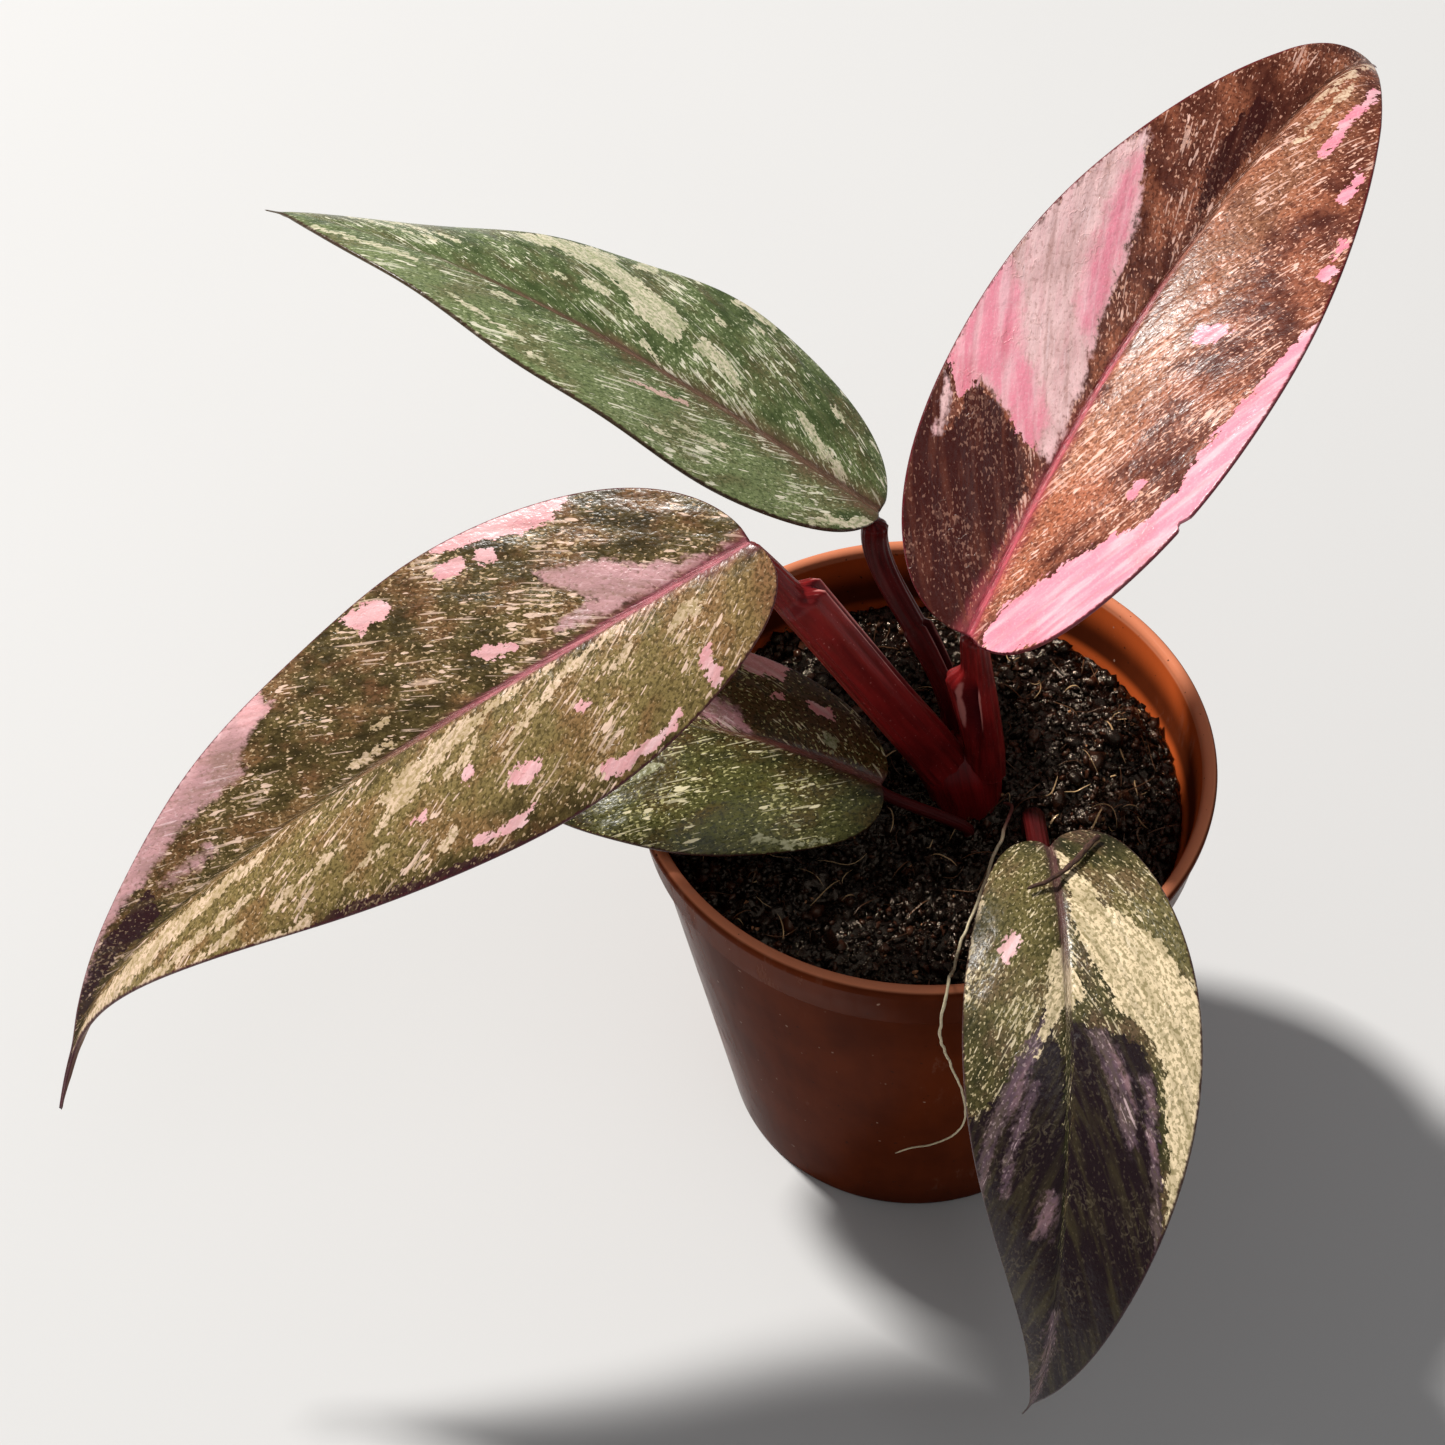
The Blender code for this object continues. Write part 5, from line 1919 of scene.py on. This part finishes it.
LOW = BladeShape(
    name="blade_low", base=(-5.0, -6.4, 67.0), length=50.2, tail=1.5, heading=(163.0, 171.0),
    pitch=(20.3, -40.7), droop=1.55, nod=0.0, roll=(-14.0, 1.8), twist=1.0, hook=4.5,
    half_widths=(16.2, 12.9), taper=(0.58, 0.58), fold=(3.4, -0.7), curls=(-26.4, -20.3),
    lobes=(2.8, 1.0), waves=(0.3, 2.0),
)
FRONT = BladeShape(
    name="blade_front", base=(13.0, -16.9, 67.9), length=72.0, tail=2.5, heading=(272.0, 255.0),
    pitch=(19.8, -78.0), droop=0.8, nod=0.0, roll=(-6.5, 26.0), twist=2.0, hook=-16.0,
    half_widths=(14.4, 11.9), taper=(0.64, 1.11), fold=(11.2, -5.0), curls=(-0.5, -32.0),
    lobes=(5.0, 3.0), waves=(0.35, 2.0),
)

UPRIGHT_PATCHES: Markings = {
    Tone.DARK: (
        ((-2, 1.2), (2, 1.4), (8, 3), (14, 5.5), (18, 9), (21, 13), (14, 13), (6, 11), (0, 10),
         (-2, 6)),
        ((-1, 2), (1, 3), (3, 8), (5, 9.5), (10, 11), (15, 12), (19, 12.5), (22, 13.5), (28, 16.5),
         (24, 18), (12, 17), (4, 13), (0, 8), (-1, 4)),
        ((4, 1.5), (5, 5), (8, 8), (12, 9), (17, 11.5), (21, 12), (27.5, 13), (26, 11.5), (25, 8.5),
         (22.5, 5), (21, 3), (18, 1.5), (10, 1)),
        ((55, 1), (60, 3.5), (65, 4.5), (72, 4.8), (72, 2), (62, 1)),
    ),
    Tone.WARM: (
        ((3, -0.8), (12, -0.8), (35, -1), (40, -5), (30, -8), (16, -7), (6, -4)),
    ),
    Tone.GOLD: (
        ((20, -1), (62, -0.5), (84, -1), (80, -5), (50, -8), (24, -7)),
        ((17.8, -17.6), (21.2, -18), (21.2, -24), (17.8, -24)),
    ),
    Tone.MAUVE: (
        ((19, 12.6), (24, 14.6), (25, 15.4), (19, 13.4)),
        ((22, 0.6), (31, 1.5), (40, 4), (45, 5), (52, 7), (58, 10.5), (60, 12), (56, 14), (46, 15.5),
         (36, 16.5), (28, 17), (25, 8)),
    ),
    Tone.CREAM: (
        ((76, -0.4), (90, -0.3), (89, -1), (77, -1.2)), ((70, -2.2), (82, -2), (81, -2.6), (71, -2.7)),
    ),
    Tone.PINK: (
        ((22, 3), (25, 8), (27, 12), (24, 13.5), (28, 17), (40, 17), (37, 13), (32, 10), (29, 6),
         (26, 3)),
        ((36, 3.5), (42, 4.5), (50, 6.7), (53, 8), (58, 10.5), (56, 11.2), (50, 10), (44, 8.5),
         (38, 6.5)),
        ((0.5, -2), (4, -3), (8, -6), (12, -9), (15, -12), (18, -15.5), (24, -17.4), (28, -17.2),
         (35, -18.2), (42, -18.8), (48, -19.4), (50, -20.2), (46, -23), (30, -24), (20, -23), (8, -19),
         (2, -12), (-2, -5)),
        ((41, -7.2), (43, -7.2), (44.5, -10), (43.5, -10.8), (41, -9.5)),
        ((20, -11.6), (22.5, -11.4), (23.5, -12.6), (20.6, -12.6)),
        ((64.5, -11), (70.5, -10.5), (69, -12), (65, -12.5)),
        ((54, -15.7), (56.2, -15.9), (56, -17.4), (54, -17)),
        ((57, -15.2), (60.2, -15), (60, -16), (57.2, -16)),
        ((70, -5.3), (84, -4), (84, -5), (70, -6.4)),
    ),
}
BACK_PATCHES: Markings = {
    Tone.WARM: (
        ((0, 0), (0, 2.4), (12, 2.4), (38, 0.6), (38, 0)),
    ),
    Tone.GOLD: (
        ((6, 3), (40, 5), (78, 1), (78, 8), (40, 20), (6, 16)),
    ),
    Tone.CREAM: (
        ((26, 10.4), (30, 11.6), (30, 12.1), (26, 11)),
        ((25.6, -12.2), (27.4, -12.4), (27.2, -13.2), (25.6, -12.9)),
        ((21.5, -15), (24.5, -15.4), (24.4, -16), (21.5, -15.7)),
        ((33, -15.6), (35, -15.8), (35, -16.6), (33, -16.2)),
        ((46, 12.6), (56, 10.8), (70, 6.2), (71, 7.2), (57, 12), (46, 14)),
        ((58, -5.2), (70, -5.4), (70, -6), (58, -5.8)),
        ((0.5, 2.5), (2, 4.5), (5, 7), (8.5, 9.6), (8, 8.2), (5, 5.6), (2.5, 3)),
        ((20, 6), (27, 8), (26.5, 8.6), (20, 6.8)), ((45, 9.1), (55, 7.1), (55, 7.7), (46, 9.8)),
        ((60, 2.2), (75, 2.4), (75, 3), (60, 3.2)), ((48, 1.9), (52, 2), (51.5, 2.7), (48, 2.7)),
        ((42, 10.5), (44, 10.5), (44, 11.4), (42, 11.4)),
        ((5, -0.3), (9, -1.7), (12, -3.7), (14.7, -5.6), (13, -6), (10, -3.8), (6, -1.8)),
        ((20.5, -3), (24, -4.8), (28.2, -6.2), (27.7, -8.5), (25, -7.5), (22, -5.2)),
        ((30, -4.6), (33, -5.3), (36, -6.3), (38.5, -9.3), (43, -12), (48, -12.1), (52, -11.3),
         (54.2, -12.8), (50, -15.3), (45, -16.2), (41.5, -17.2), (41, -14.5), (36, -12.2), (32, -10.2),
         (30.3, -8.6)),
        ((40, -6.6), (43.2, -6.9), (43, -8.6), (40.2, -8.4)),
        ((45, -6), (46.6, -6.1), (46.5, -6.9), (45, -6.8)),
        ((31, -0.4), (34.2, -2.4), (34, -3.2), (31, -1.4)),
        ((8.5, -7.8), (10.2, -9.6), (10, -10.7), (8.4, -9)),
        ((20, -17), (26, -17.8), (26, -19.5), (20, -19.5)),
        ((36.5, -16), (38.7, -16.2), (38.5, -19), (36.4, -19)),
        ((60, -3.2), (72, -3.4), (72, -4), (60, -3.9)),
    ),
    Tone.PINK: (
        ((26, 3), (33, 5.5), (32, 5.7), (26, 3.7)),
    ),
}
LEFT_PATCHES: Markings = {
    Tone.DARK: (
        ((28, 17.2), (40, 15.6), (55, 12.8), (76, 9), (76, 12), (55, 17), (30, 20)),
        ((80, -0.9), (90, -0.8), (101, -0.4), (101, -1.6), (90, -3.4), (80, -3.6)),
        ((103, 1.5), (113, 1.5), (113, -1.5), (103, -1.5)),
    ),
    Tone.WARM: (
        ((-2, 2.5), (5, 2.5), (10, 3.5), (10, 8), (8, 12), (5, 15), (-2, 15)),
    ),
    Tone.GOLD: (
        ((1, 2), (2, 9), (8, 13), (16, 16), (30, 13), (58, 12), (80, 10), (104, 3), (104, 0), (60, 0.5),
         (30, 0.8)),
    ),
    Tone.MAUVE: (
        ((2, -0.5), (8, -2), (12, -4), (15, -6.5), (20, -8.5), (22.5, -9.5), (22, -7.5), (19, -5),
         (17.5, -3), (22, -3), (23, -2), (18, -1.2), (10, -0.6)),
        ((61.5, -8), (65, -7.5), (72, -7), (77, -5.8), (80, -5), (88, -4), (97, -2), (97, -6), (84, -9),
         (70, -12.5), (57, -15.5), (55.6, -12.5), (60, -11), (62, -9.5)),
        ((70, -2.3), (78, -2.6), (78, -3.6), (70, -3.4)),
    ),
    Tone.CREAM: (
        ((8, 2.4), (10, 2.6), (12, 3.8), (11.6, 4.8), (9.4, 4), (8.2, 4.6)),
        ((24, 0.9), (33, 2), (40, 3.8), (47, 6), (51.3, 7.6), (48, 5), (49.6, 4), (46, 2.6), (38, 1.3),
         (30, 0.7)),
        ((16, 1), (21, 2), (28, 4.4), (34, 6.6), (31, 4.6), (25, 2.2), (18, 0.8)),
        ((16, 3), (20, 4.4), (20.4, 5.6), (16.4, 4.4)), ((62, 11), (72, 9.4), (73, 10), (63, 12)),
        ((60, 1), (72, 2.6), (84, 3.4), (96, 2.6), (104, 1.3), (104, 0.2), (84, 0.7), (70, 1)),
        ((62, 4.2), (70, 5.5), (82, 6), (92, 4.8), (92, 4), (82, 4.9), (70, 4.6)),
        ((55, 6.4), (66, 8.2), (66, 7.5), (56, 5.8)), ((69, 7.5), (80, 7.9), (80, 7.2), (69, 6.8)),
        ((84, 7), (94, 5), (93, 6), (86, 7.6)), ((50, 9), (57, 10.4), (57, 9.8), (50.5, 8.3)),
        ((42, 11), (45, 12.4), (45, 13.2), (42, 12)), ((36, 3.6), (41, 5.6), (41, 6.4), (36, 4.6)),
        ((45, -0.7), (51, -0.9), (51, -1.6), (45, -1.6)),
        ((44, -3.2), (47.2, -3.2), (47, -3.9), (44, -3.9)),
    ),
    Tone.PINK: (
        ((8.6, 8), (10, 8), (10.8, 11), (10.2, 12.6), (9.2, 11.5)),
        ((14.8, 12.5), (18, 13.4), (22, 13.8), (25.4, 13.6), (25, 15), (21, 14.8), (16.6, 14.4)),
        ((30.5, 8.8), (34.2, 9), (35, 10.6), (31.4, 11.3)),
        ((23, 6.4), (24.6, 6.6), (24.4, 7.6), (23, 7.4)),
        ((37.4, 6.4), (39, 6.6), (38.8, 7.6), (37.4, 7.4)),
        ((33, 13.4), (37, 14), (41, 13.6), (41, 14.4), (36, 14.9)),
        ((44.6, 7.8), (46.6, 8.2), (46.4, 9.2), (44.8, 9)),
        ((27.4, -3.2), (30, -2.9), (31.6, -3.7), (32.4, -5), (30.4, -4.8)),
        ((14.6, -15.6), (18, -13.9), (21, -13.9), (25, -15.4), (29, -16.4), (32.2, -17.6), (30, -20),
         (20, -20), (15, -18)),
        ((25.4, -13), (27.7, -13.3), (27.4, -15), (25.2, -14.6)),
        ((29, -13.8), (32.6, -14.2), (32.6, -15.9), (29.2, -15.6)),
        ((38.8, -14), (43, -13.8), (44.8, -16.6), (42, -17), (38.8, -16)),
        ((56, -12), (60, -11.8), (61, -14), (57, -16)),
        ((60, -13.4), (70, -10.6), (80, -8), (92, -4.6), (92, -7), (76, -12), (60, -16)),
    ),
}
LOW_PATCHES: Markings = {
    Tone.WARM: (
        ((-2, -0.4), (55, -0.4), (55, -14), (-2, -14)),
    ),
    Tone.GOLD: (
        ((0, 2), (14, 3), (34, 6), (34, 16), (0, 16)),
    ),
    Tone.MAUVE: (
        ((17, -0.3), (20, -0.5), (22.5, -1.5), (26, -3.5), (24, -5), (21, -4.5), (19, -3)),
    ),
    Tone.CREAM: (
        ((7, -1.4), (8.6, -2), (8.4, -3.4), (7, -3)),
        ((4, 9.2), (8, 10.8), (13, 11.8), (13, 12.3), (8, 11.5)),
        ((8, 8), (10, 8.6), (9.6, 9.2), (7.8, 8.6)),
        ((26, 5), (33, 8), (37, 9.4), (35, 9.9), (29, 8), (26, 6)),
    ),
    Tone.PINK: (
        ((15, -9), (19, -9.3), (22, -11.5), (22, -14), (14.5, -14), (14, -11)),
        ((7.8, -5.3), (11, -6), (11.2, -7.2), (8.6, -7)),
        ((14.4, -6), (15.8, -6.2), (15.6, -7.2), (14.4, -6.9)),
        ((32, -4), (36, -5.4), (39, -7.5), (36, -7.7), (32.5, -5.6)),
    ),
}
FRONT_PATCHES: Markings = {
    # The dark patches over the lower half are the leaf's own dark purple, and partly painted shadow
    # where the left leaf's shadow falls on it.
    Tone.DARK: (
        ((24, 0.2), (26, 7), (30, 9.4), (36, 10), (43, 10.6), (48, 10.9), (56, 11), (56, 0), (40, 0)),
        ((22, -2.6), (28, -5), (34, -9), (38, -13), (50, -14), (60, -10), (60, 0), (40, 0), (29, -0.5)),
        ((50, 11), (50, -14), (76, -5), (76, 5), (56, 12)),
    ),
    Tone.GOLD: (
        ((2, -1), (20, -0.5), (27, -4), (24, -9), (16, -12), (4, -11)),
        ((4, 3), (16, 6), (30, 10), (46, 12), (46, 16), (10, 16)),
    ),
    Tone.MAUVE: (
        ((25, 2), (31, 4.6), (38, 6.6), (37, 7.4), (30, 6.4), (25, 3.6)),
        ((30, 7.6), (38, 9), (48, 10.2), (47, 10.7), (38, 9.8), (30, 8.6)),
        ((23, -1.5), (30, -4.2), (37, -7.6), (45, -9.5), (44, -10.1), (37, -9), (30, -6.4), (24, -3)),
        ((31, -3.4), (38, -5.4), (44, -6.4), (44, -7), (37, -6.2), (31, -4.2)),
        ((43, -0.5), (48, -1.4), (48, -3), (43, -2)), ((57, 0.3), (72, 0.2), (72, -0.2), (57, -0.3)),
    ),
    Tone.CREAM: (
        ((0.5, 0.3), (5, 2), (10, 4.5), (13, 7.5), (15, 10), (20, 13), (24, 16), (36, 16), (48, 13),
         (45, 11.3), (42, 11), (35, 10.5), (28, 9.8), (25, 8), (23, 5.5), (20, 4), (16, 2.2), (12, 1),
         (8, 1.2), (4, 0.8)),
        ((15.5, -0.3), (18, 0.5), (21, 2.2), (22.5, 0.2), (25, -2), (28.4, -3.6), (20, -2), (17, -2)),
        ((9, -8.4), (14, -10.2), (21, -11.3), (21, -13), (12, -12.4), (7.6, -10)),
    ),
    Tone.PINK: (
        ((13.6, -5), (15.2, -5), (17.7, -7), (15.5, -7.8)),
    ),
}

UPRIGHT_FINISH = LeafFinish(
    slot="leaf_upright", gold=(0.38, 0.165, 0.085),
    base_dark=(0.068, 0.013, 0.007), base_light=(0.23, 0.070, 0.040),
    speck=(0.78, 0.42, 0.30), fleck=(0.92, 0.58, 0.48), warm=(0.56, 0.18, 0.09),
    dark=(0.046, 0.007, 0.005), mauve=(0.90, 0.60, 0.60), cream=(0.84, 0.62, 0.44),
    pink=(0.86, 0.29, 0.38), midrib=(0.62, 0.10, 0.14), margin=(0.12, 0.008, 0.015),
    underside=(0.30, 0.07, 0.08), speck_level=0.60, fleck_level=0.665, dark_specks=0.22,
    vein_spacing=3.5, midrib_reach=0.62,
)
BACK_FINISH = LeafFinish(
    slot="leaf_back", gold=(0.25, 0.30, 0.13),
    base_dark=(0.05, 0.075, 0.022), base_light=(0.19, 0.24, 0.095),
    speck=(0.52, 0.56, 0.34), fleck=(0.86, 0.82, 0.64), warm=(0.15, 0.085, 0.045),
    dark=(0.03, 0.035, 0.015), mauve=(0.34, 0.25, 0.2), cream=(0.76, 0.68, 0.50),
    pink=(0.62, 0.42, 0.34), midrib=(0.20, 0.10, 0.07), margin=(0.050, 0.018, 0.012),
    underside=(0.22, 0.18, 0.09), speck_level=0.61, fleck_level=0.65, dark_specks=0.5,
    vein_spacing=3.3, midrib_reach=0.85,
)
LEFT_FINISH = LeafFinish(
    slot="leaf_left", gold=(0.31, 0.225, 0.08),
    base_dark=(0.032, 0.021, 0.005), base_light=(0.15, 0.106, 0.034),
    speck=(0.60, 0.42, 0.25), fleck=(0.84, 0.60, 0.47), warm=(0.30, 0.125, 0.058),
    dark=(0.034, 0.010, 0.012), mauve=(0.56, 0.31, 0.32), cream=(0.76, 0.56, 0.40),
    pink=(0.80, 0.41, 0.42), midrib=(0.56, 0.16, 0.20), margin=(0.09, 0.013, 0.022),
    underside=(0.24, 0.12, 0.08), speck_level=0.605, fleck_level=0.66, dark_specks=0.35,
    vein_spacing=3.5, midrib_reach=0.52,
)
LOW_FINISH = LeafFinish(
    slot="leaf_low", gold=(0.105, 0.105, 0.026),
    base_dark=(0.012, 0.013, 0.003), base_light=(0.085, 0.072, 0.017),
    speck=(0.52, 0.48, 0.22), fleck=(0.78, 0.70, 0.46), warm=(0.090, 0.034, 0.009),
    dark=(0.02, 0.015, 0.008), mauve=(0.42, 0.20, 0.23), cream=(0.34, 0.33, 0.20),
    pink=(0.66, 0.26, 0.27), midrib=(0.20, 0.05, 0.04), margin=(0.045, 0.010, 0.010),
    underside=(0.20, 0.13, 0.07), speck_level=0.615, fleck_level=0.675, dark_specks=0.3,
    vein_spacing=3.0, midrib_reach=0.5,
)
FRONT_FINISH = LeafFinish(
    slot="leaf_front", gold=(0.19, 0.155, 0.055),
    base_dark=(0.020, 0.020, 0.006), base_light=(0.105, 0.088, 0.030),
    speck=(0.60, 0.49, 0.29), fleck=(0.74, 0.62, 0.42), warm=(0.15, 0.07, 0.05),
    # dark and mauve are the purple and the pale streaks of the lower half, darkened as painted shade
    # over the leaf's own colours.
    dark=(0.012, 0.005, 0.007), mauve=(0.10, 0.060, 0.08), cream=(0.86, 0.69, 0.45),
    pink=(0.76, 0.44, 0.44), midrib=(0.12, 0.05, 0.05), margin=(0.045, 0.014, 0.018),
    underside=(0.20, 0.10, 0.08), speck_level=0.60, fleck_level=0.69, dark_specks=0.05,
    vein_spacing=3.1, midrib_reach=0.4,
)

LEAVES = (
    Leaf(UPRIGHT, UPRIGHT_FINISH, UPRIGHT_PATCHES, right_nick=Nick(19.5, 0.7, 0.9)),
    Leaf(BACK, BACK_FINISH, BACK_PATCHES),
    Leaf(LEFT, LEFT_FINISH, LEFT_PATCHES),
    Leaf(LOW, LOW_FINISH, LOW_PATCHES),
    Leaf(FRONT, FRONT_FINISH, FRONT_PATCHES),
)

# The back, low and front stalks carry painted shade, as they sit in shadow.
STALKS = (
    Stalk(
        name="petiole_left", blade=LEFT, foot=(0.0, -0.9, 65.3), straight=0.0, rise=8.0, reach=8.0,
        dip=80.0, lean=1.0, seat=1.2, left=(1.5, 2.3), right=(1.5, 2.3), outer=(1.6, 1.9),
        inner=(1.6, 4.2), sheath_end=0.75, sheath_left=(2.3, 2.3), sheath_inner=(4.6, 4.3),
    ),
    Stalk(
        name="petiole_upright", blade=UPRIGHT, foot=(7.5, -0.9, 65.3), straight=0.0, rise=9.0,
        reach=6.0, dip=48.0, lean=0.6, seat=0.6, left=(2.2, 2.5), right=(1.0, 2.4),
        outer=(1.3, 2.0), inner=(1.2, 1.8), sheath_end=0.54, sheath_left=(4.6, 2.6),
        sheath_inner=(2.0, 1.9), sheath_fade=0.2,
    ),
    Stalk(
        name="petiole_back", blade=BACK, foot=(3.9, 4.1, 65.3), straight=0.0, rise=11.0, reach=8.0,
        dip=68.0, lean=0.2, seat=0.3, left=(1.5, 1.4), right=(1.5, 1.4), outer=(0.8, 1.3),
        inner=(2.3, 1.3), sheath_end=0.45, sheath_left=(1.9, 1.4), sheath_inner=(2.6, 1.4),
        shade=0.6,
    ),
    Stalk(
        name="petiole_low", blade=LOW, foot=(5.2, -6.8, 51.0), straight=6.6, rise=1.6, reach=3.0,
        dip=25.0, lean=0.0, seat=0.4, left=(0.7, 0.7), right=(0.7, 0.7), outer=(0.7, 0.7),
        inner=(0.7, 0.7), shade=0.85,
    ),
    Stalk(
        name="petiole_front", blade=FRONT, foot=(12.9, -6.0, 49.0), straight=9.0, rise=4.0,
        reach=4.0, dip=40.0, lean=0.0, seat=0.6, left=(1.2, 1.3), right=(1.2, 1.3),
        outer=(1.1, 1.3), inner=(1.1, 1.2), shade=0.95,
    ),
)

STALK_FINISH = SkinFinish(
    slot="stalk_skin", deep=(0.10, 0.004, 0.005), bright=(0.30, 0.014, 0.014),
    edge=(0.72, 0.26, 0.24), inside=(0.08, 0.004, 0.010),
)
STEM_FINISH = SkinFinish(
    slot="stem_skin", deep=(0.10, 0.003, 0.004), bright=(0.26, 0.009, 0.010),
    edge=(0.22, 0.03, 0.03), inside=(0.08, 0.004, 0.010),
)

PEAT_FINISH = GrainFinish(
    name="potting_soil", dark=(0.0025, 0.001, 0.0006), brown=(0.055, 0.017, 0.008),
    straw=(0.36, 0.17, 0.08),
)
COIR_FINISH = GrainFinish(
    name="coir_fibre", dark=(0.05, 0.02, 0.009), brown=(0.13, 0.06, 0.028),
    straw=(0.46, 0.30, 0.15),
)

ROOT_ROUTE = (
    (9.9, -2.6, 57.4), (10.6, -4.0, 58.6), (10.2, -5.6, 58.8), (8.9, -8.7, 58.4),
    (7.6, -11.6, 58.4), (5.7, -16.7, 58.4), (2.9, -23.1, 58.6), (1.4, -28.5, 60.4),
    (0.7, -31.4, 63.4), (0.3, -33.3, 65.8), (-0.1, -35.0, 66.3), (-0.5, -36.3, 65.3),
    (-0.8, -36.6, 62.5), (-0.7, -35.8, 58.0), (-0.2, -34.8, 54.0), (1.4, -33.4, 46.5),
    (2.8, -32.2, 39.5), (3.4, -31.2, 32.4), (2.4, -30.6, 27.8), (0.2, -30.2, 25.2),
    (-2.6, -29.7, 23.6), (-4.6, -29.2, 21.6),
)
ROOT = Strand(
    name="hanging_root", node="root_hanging", radius=0.21, end_radius=0.10, unevenness=0.16,
    wander=0.12, seed=31,
    finish=StrandFinish(
        # Both band colours are raised far above the root's own straw tones: painted light, so that it
        # reads as sunlit in the pot's shadow.
        slot="root_skin", colour=(0.95, 0.84, 0.57), shade=(0.82, 0.67, 0.42),
        start=(0.14, 0.03, 0.02), start_reach=0.1, roughness=0.55,
    ),
)

TWIG_PLACES = ((0.072, 0.70), (0.088, 0.40), (0.096, 0.12), (0.118, -0.17), (0.150, -0.41))
TWIG_LIFT = 0.9
TWIG = Strand(
    name="dry_twig", node="twig_dry", radius=0.36, end_radius=0.16, unevenness=0.3,
    wander=0.2, seed=41,
    finish=StrandFinish(
        slot="twig_bark", colour=(0.045, 0.016, 0.012), shade=(0.10, 0.045, 0.025),
        start=(0.06, 0.02, 0.012), start_reach=0.1, roughness=0.8,
    ),
)


def twig_route() -> Array:
    """Points of the twig, held just off the upper face of the front leaf."""
    u, v = np.array(TWIG_PLACES).T
    return FRONT.surface(u, v)[0] + FRONT.frames()[4][0] * TWIG_LIFT


def main() -> None:
    """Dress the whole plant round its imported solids."""
    logging.basicConfig(level=logging.INFO, format="%(name)s: %(message)s")
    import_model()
    Pot().build()
    Soil(Pot()).build()
    skin = SkinGroup().build()
    Stem().build(STEM_FINISH.material(skin))
    stalk_skin = STALK_FINISH.material(skin)
    for stalk in STALKS:
        stalk.build(stalk_skin)
    leaf_group = LeafGroup().build()
    for leaf in LEAVES:
        leaf.build(leaf_group)
    ROOT.build(ROOT_ROUTE)
    TWIG.build(twig_route())
    Studio().build()


if __name__ == "__main__":
    main()
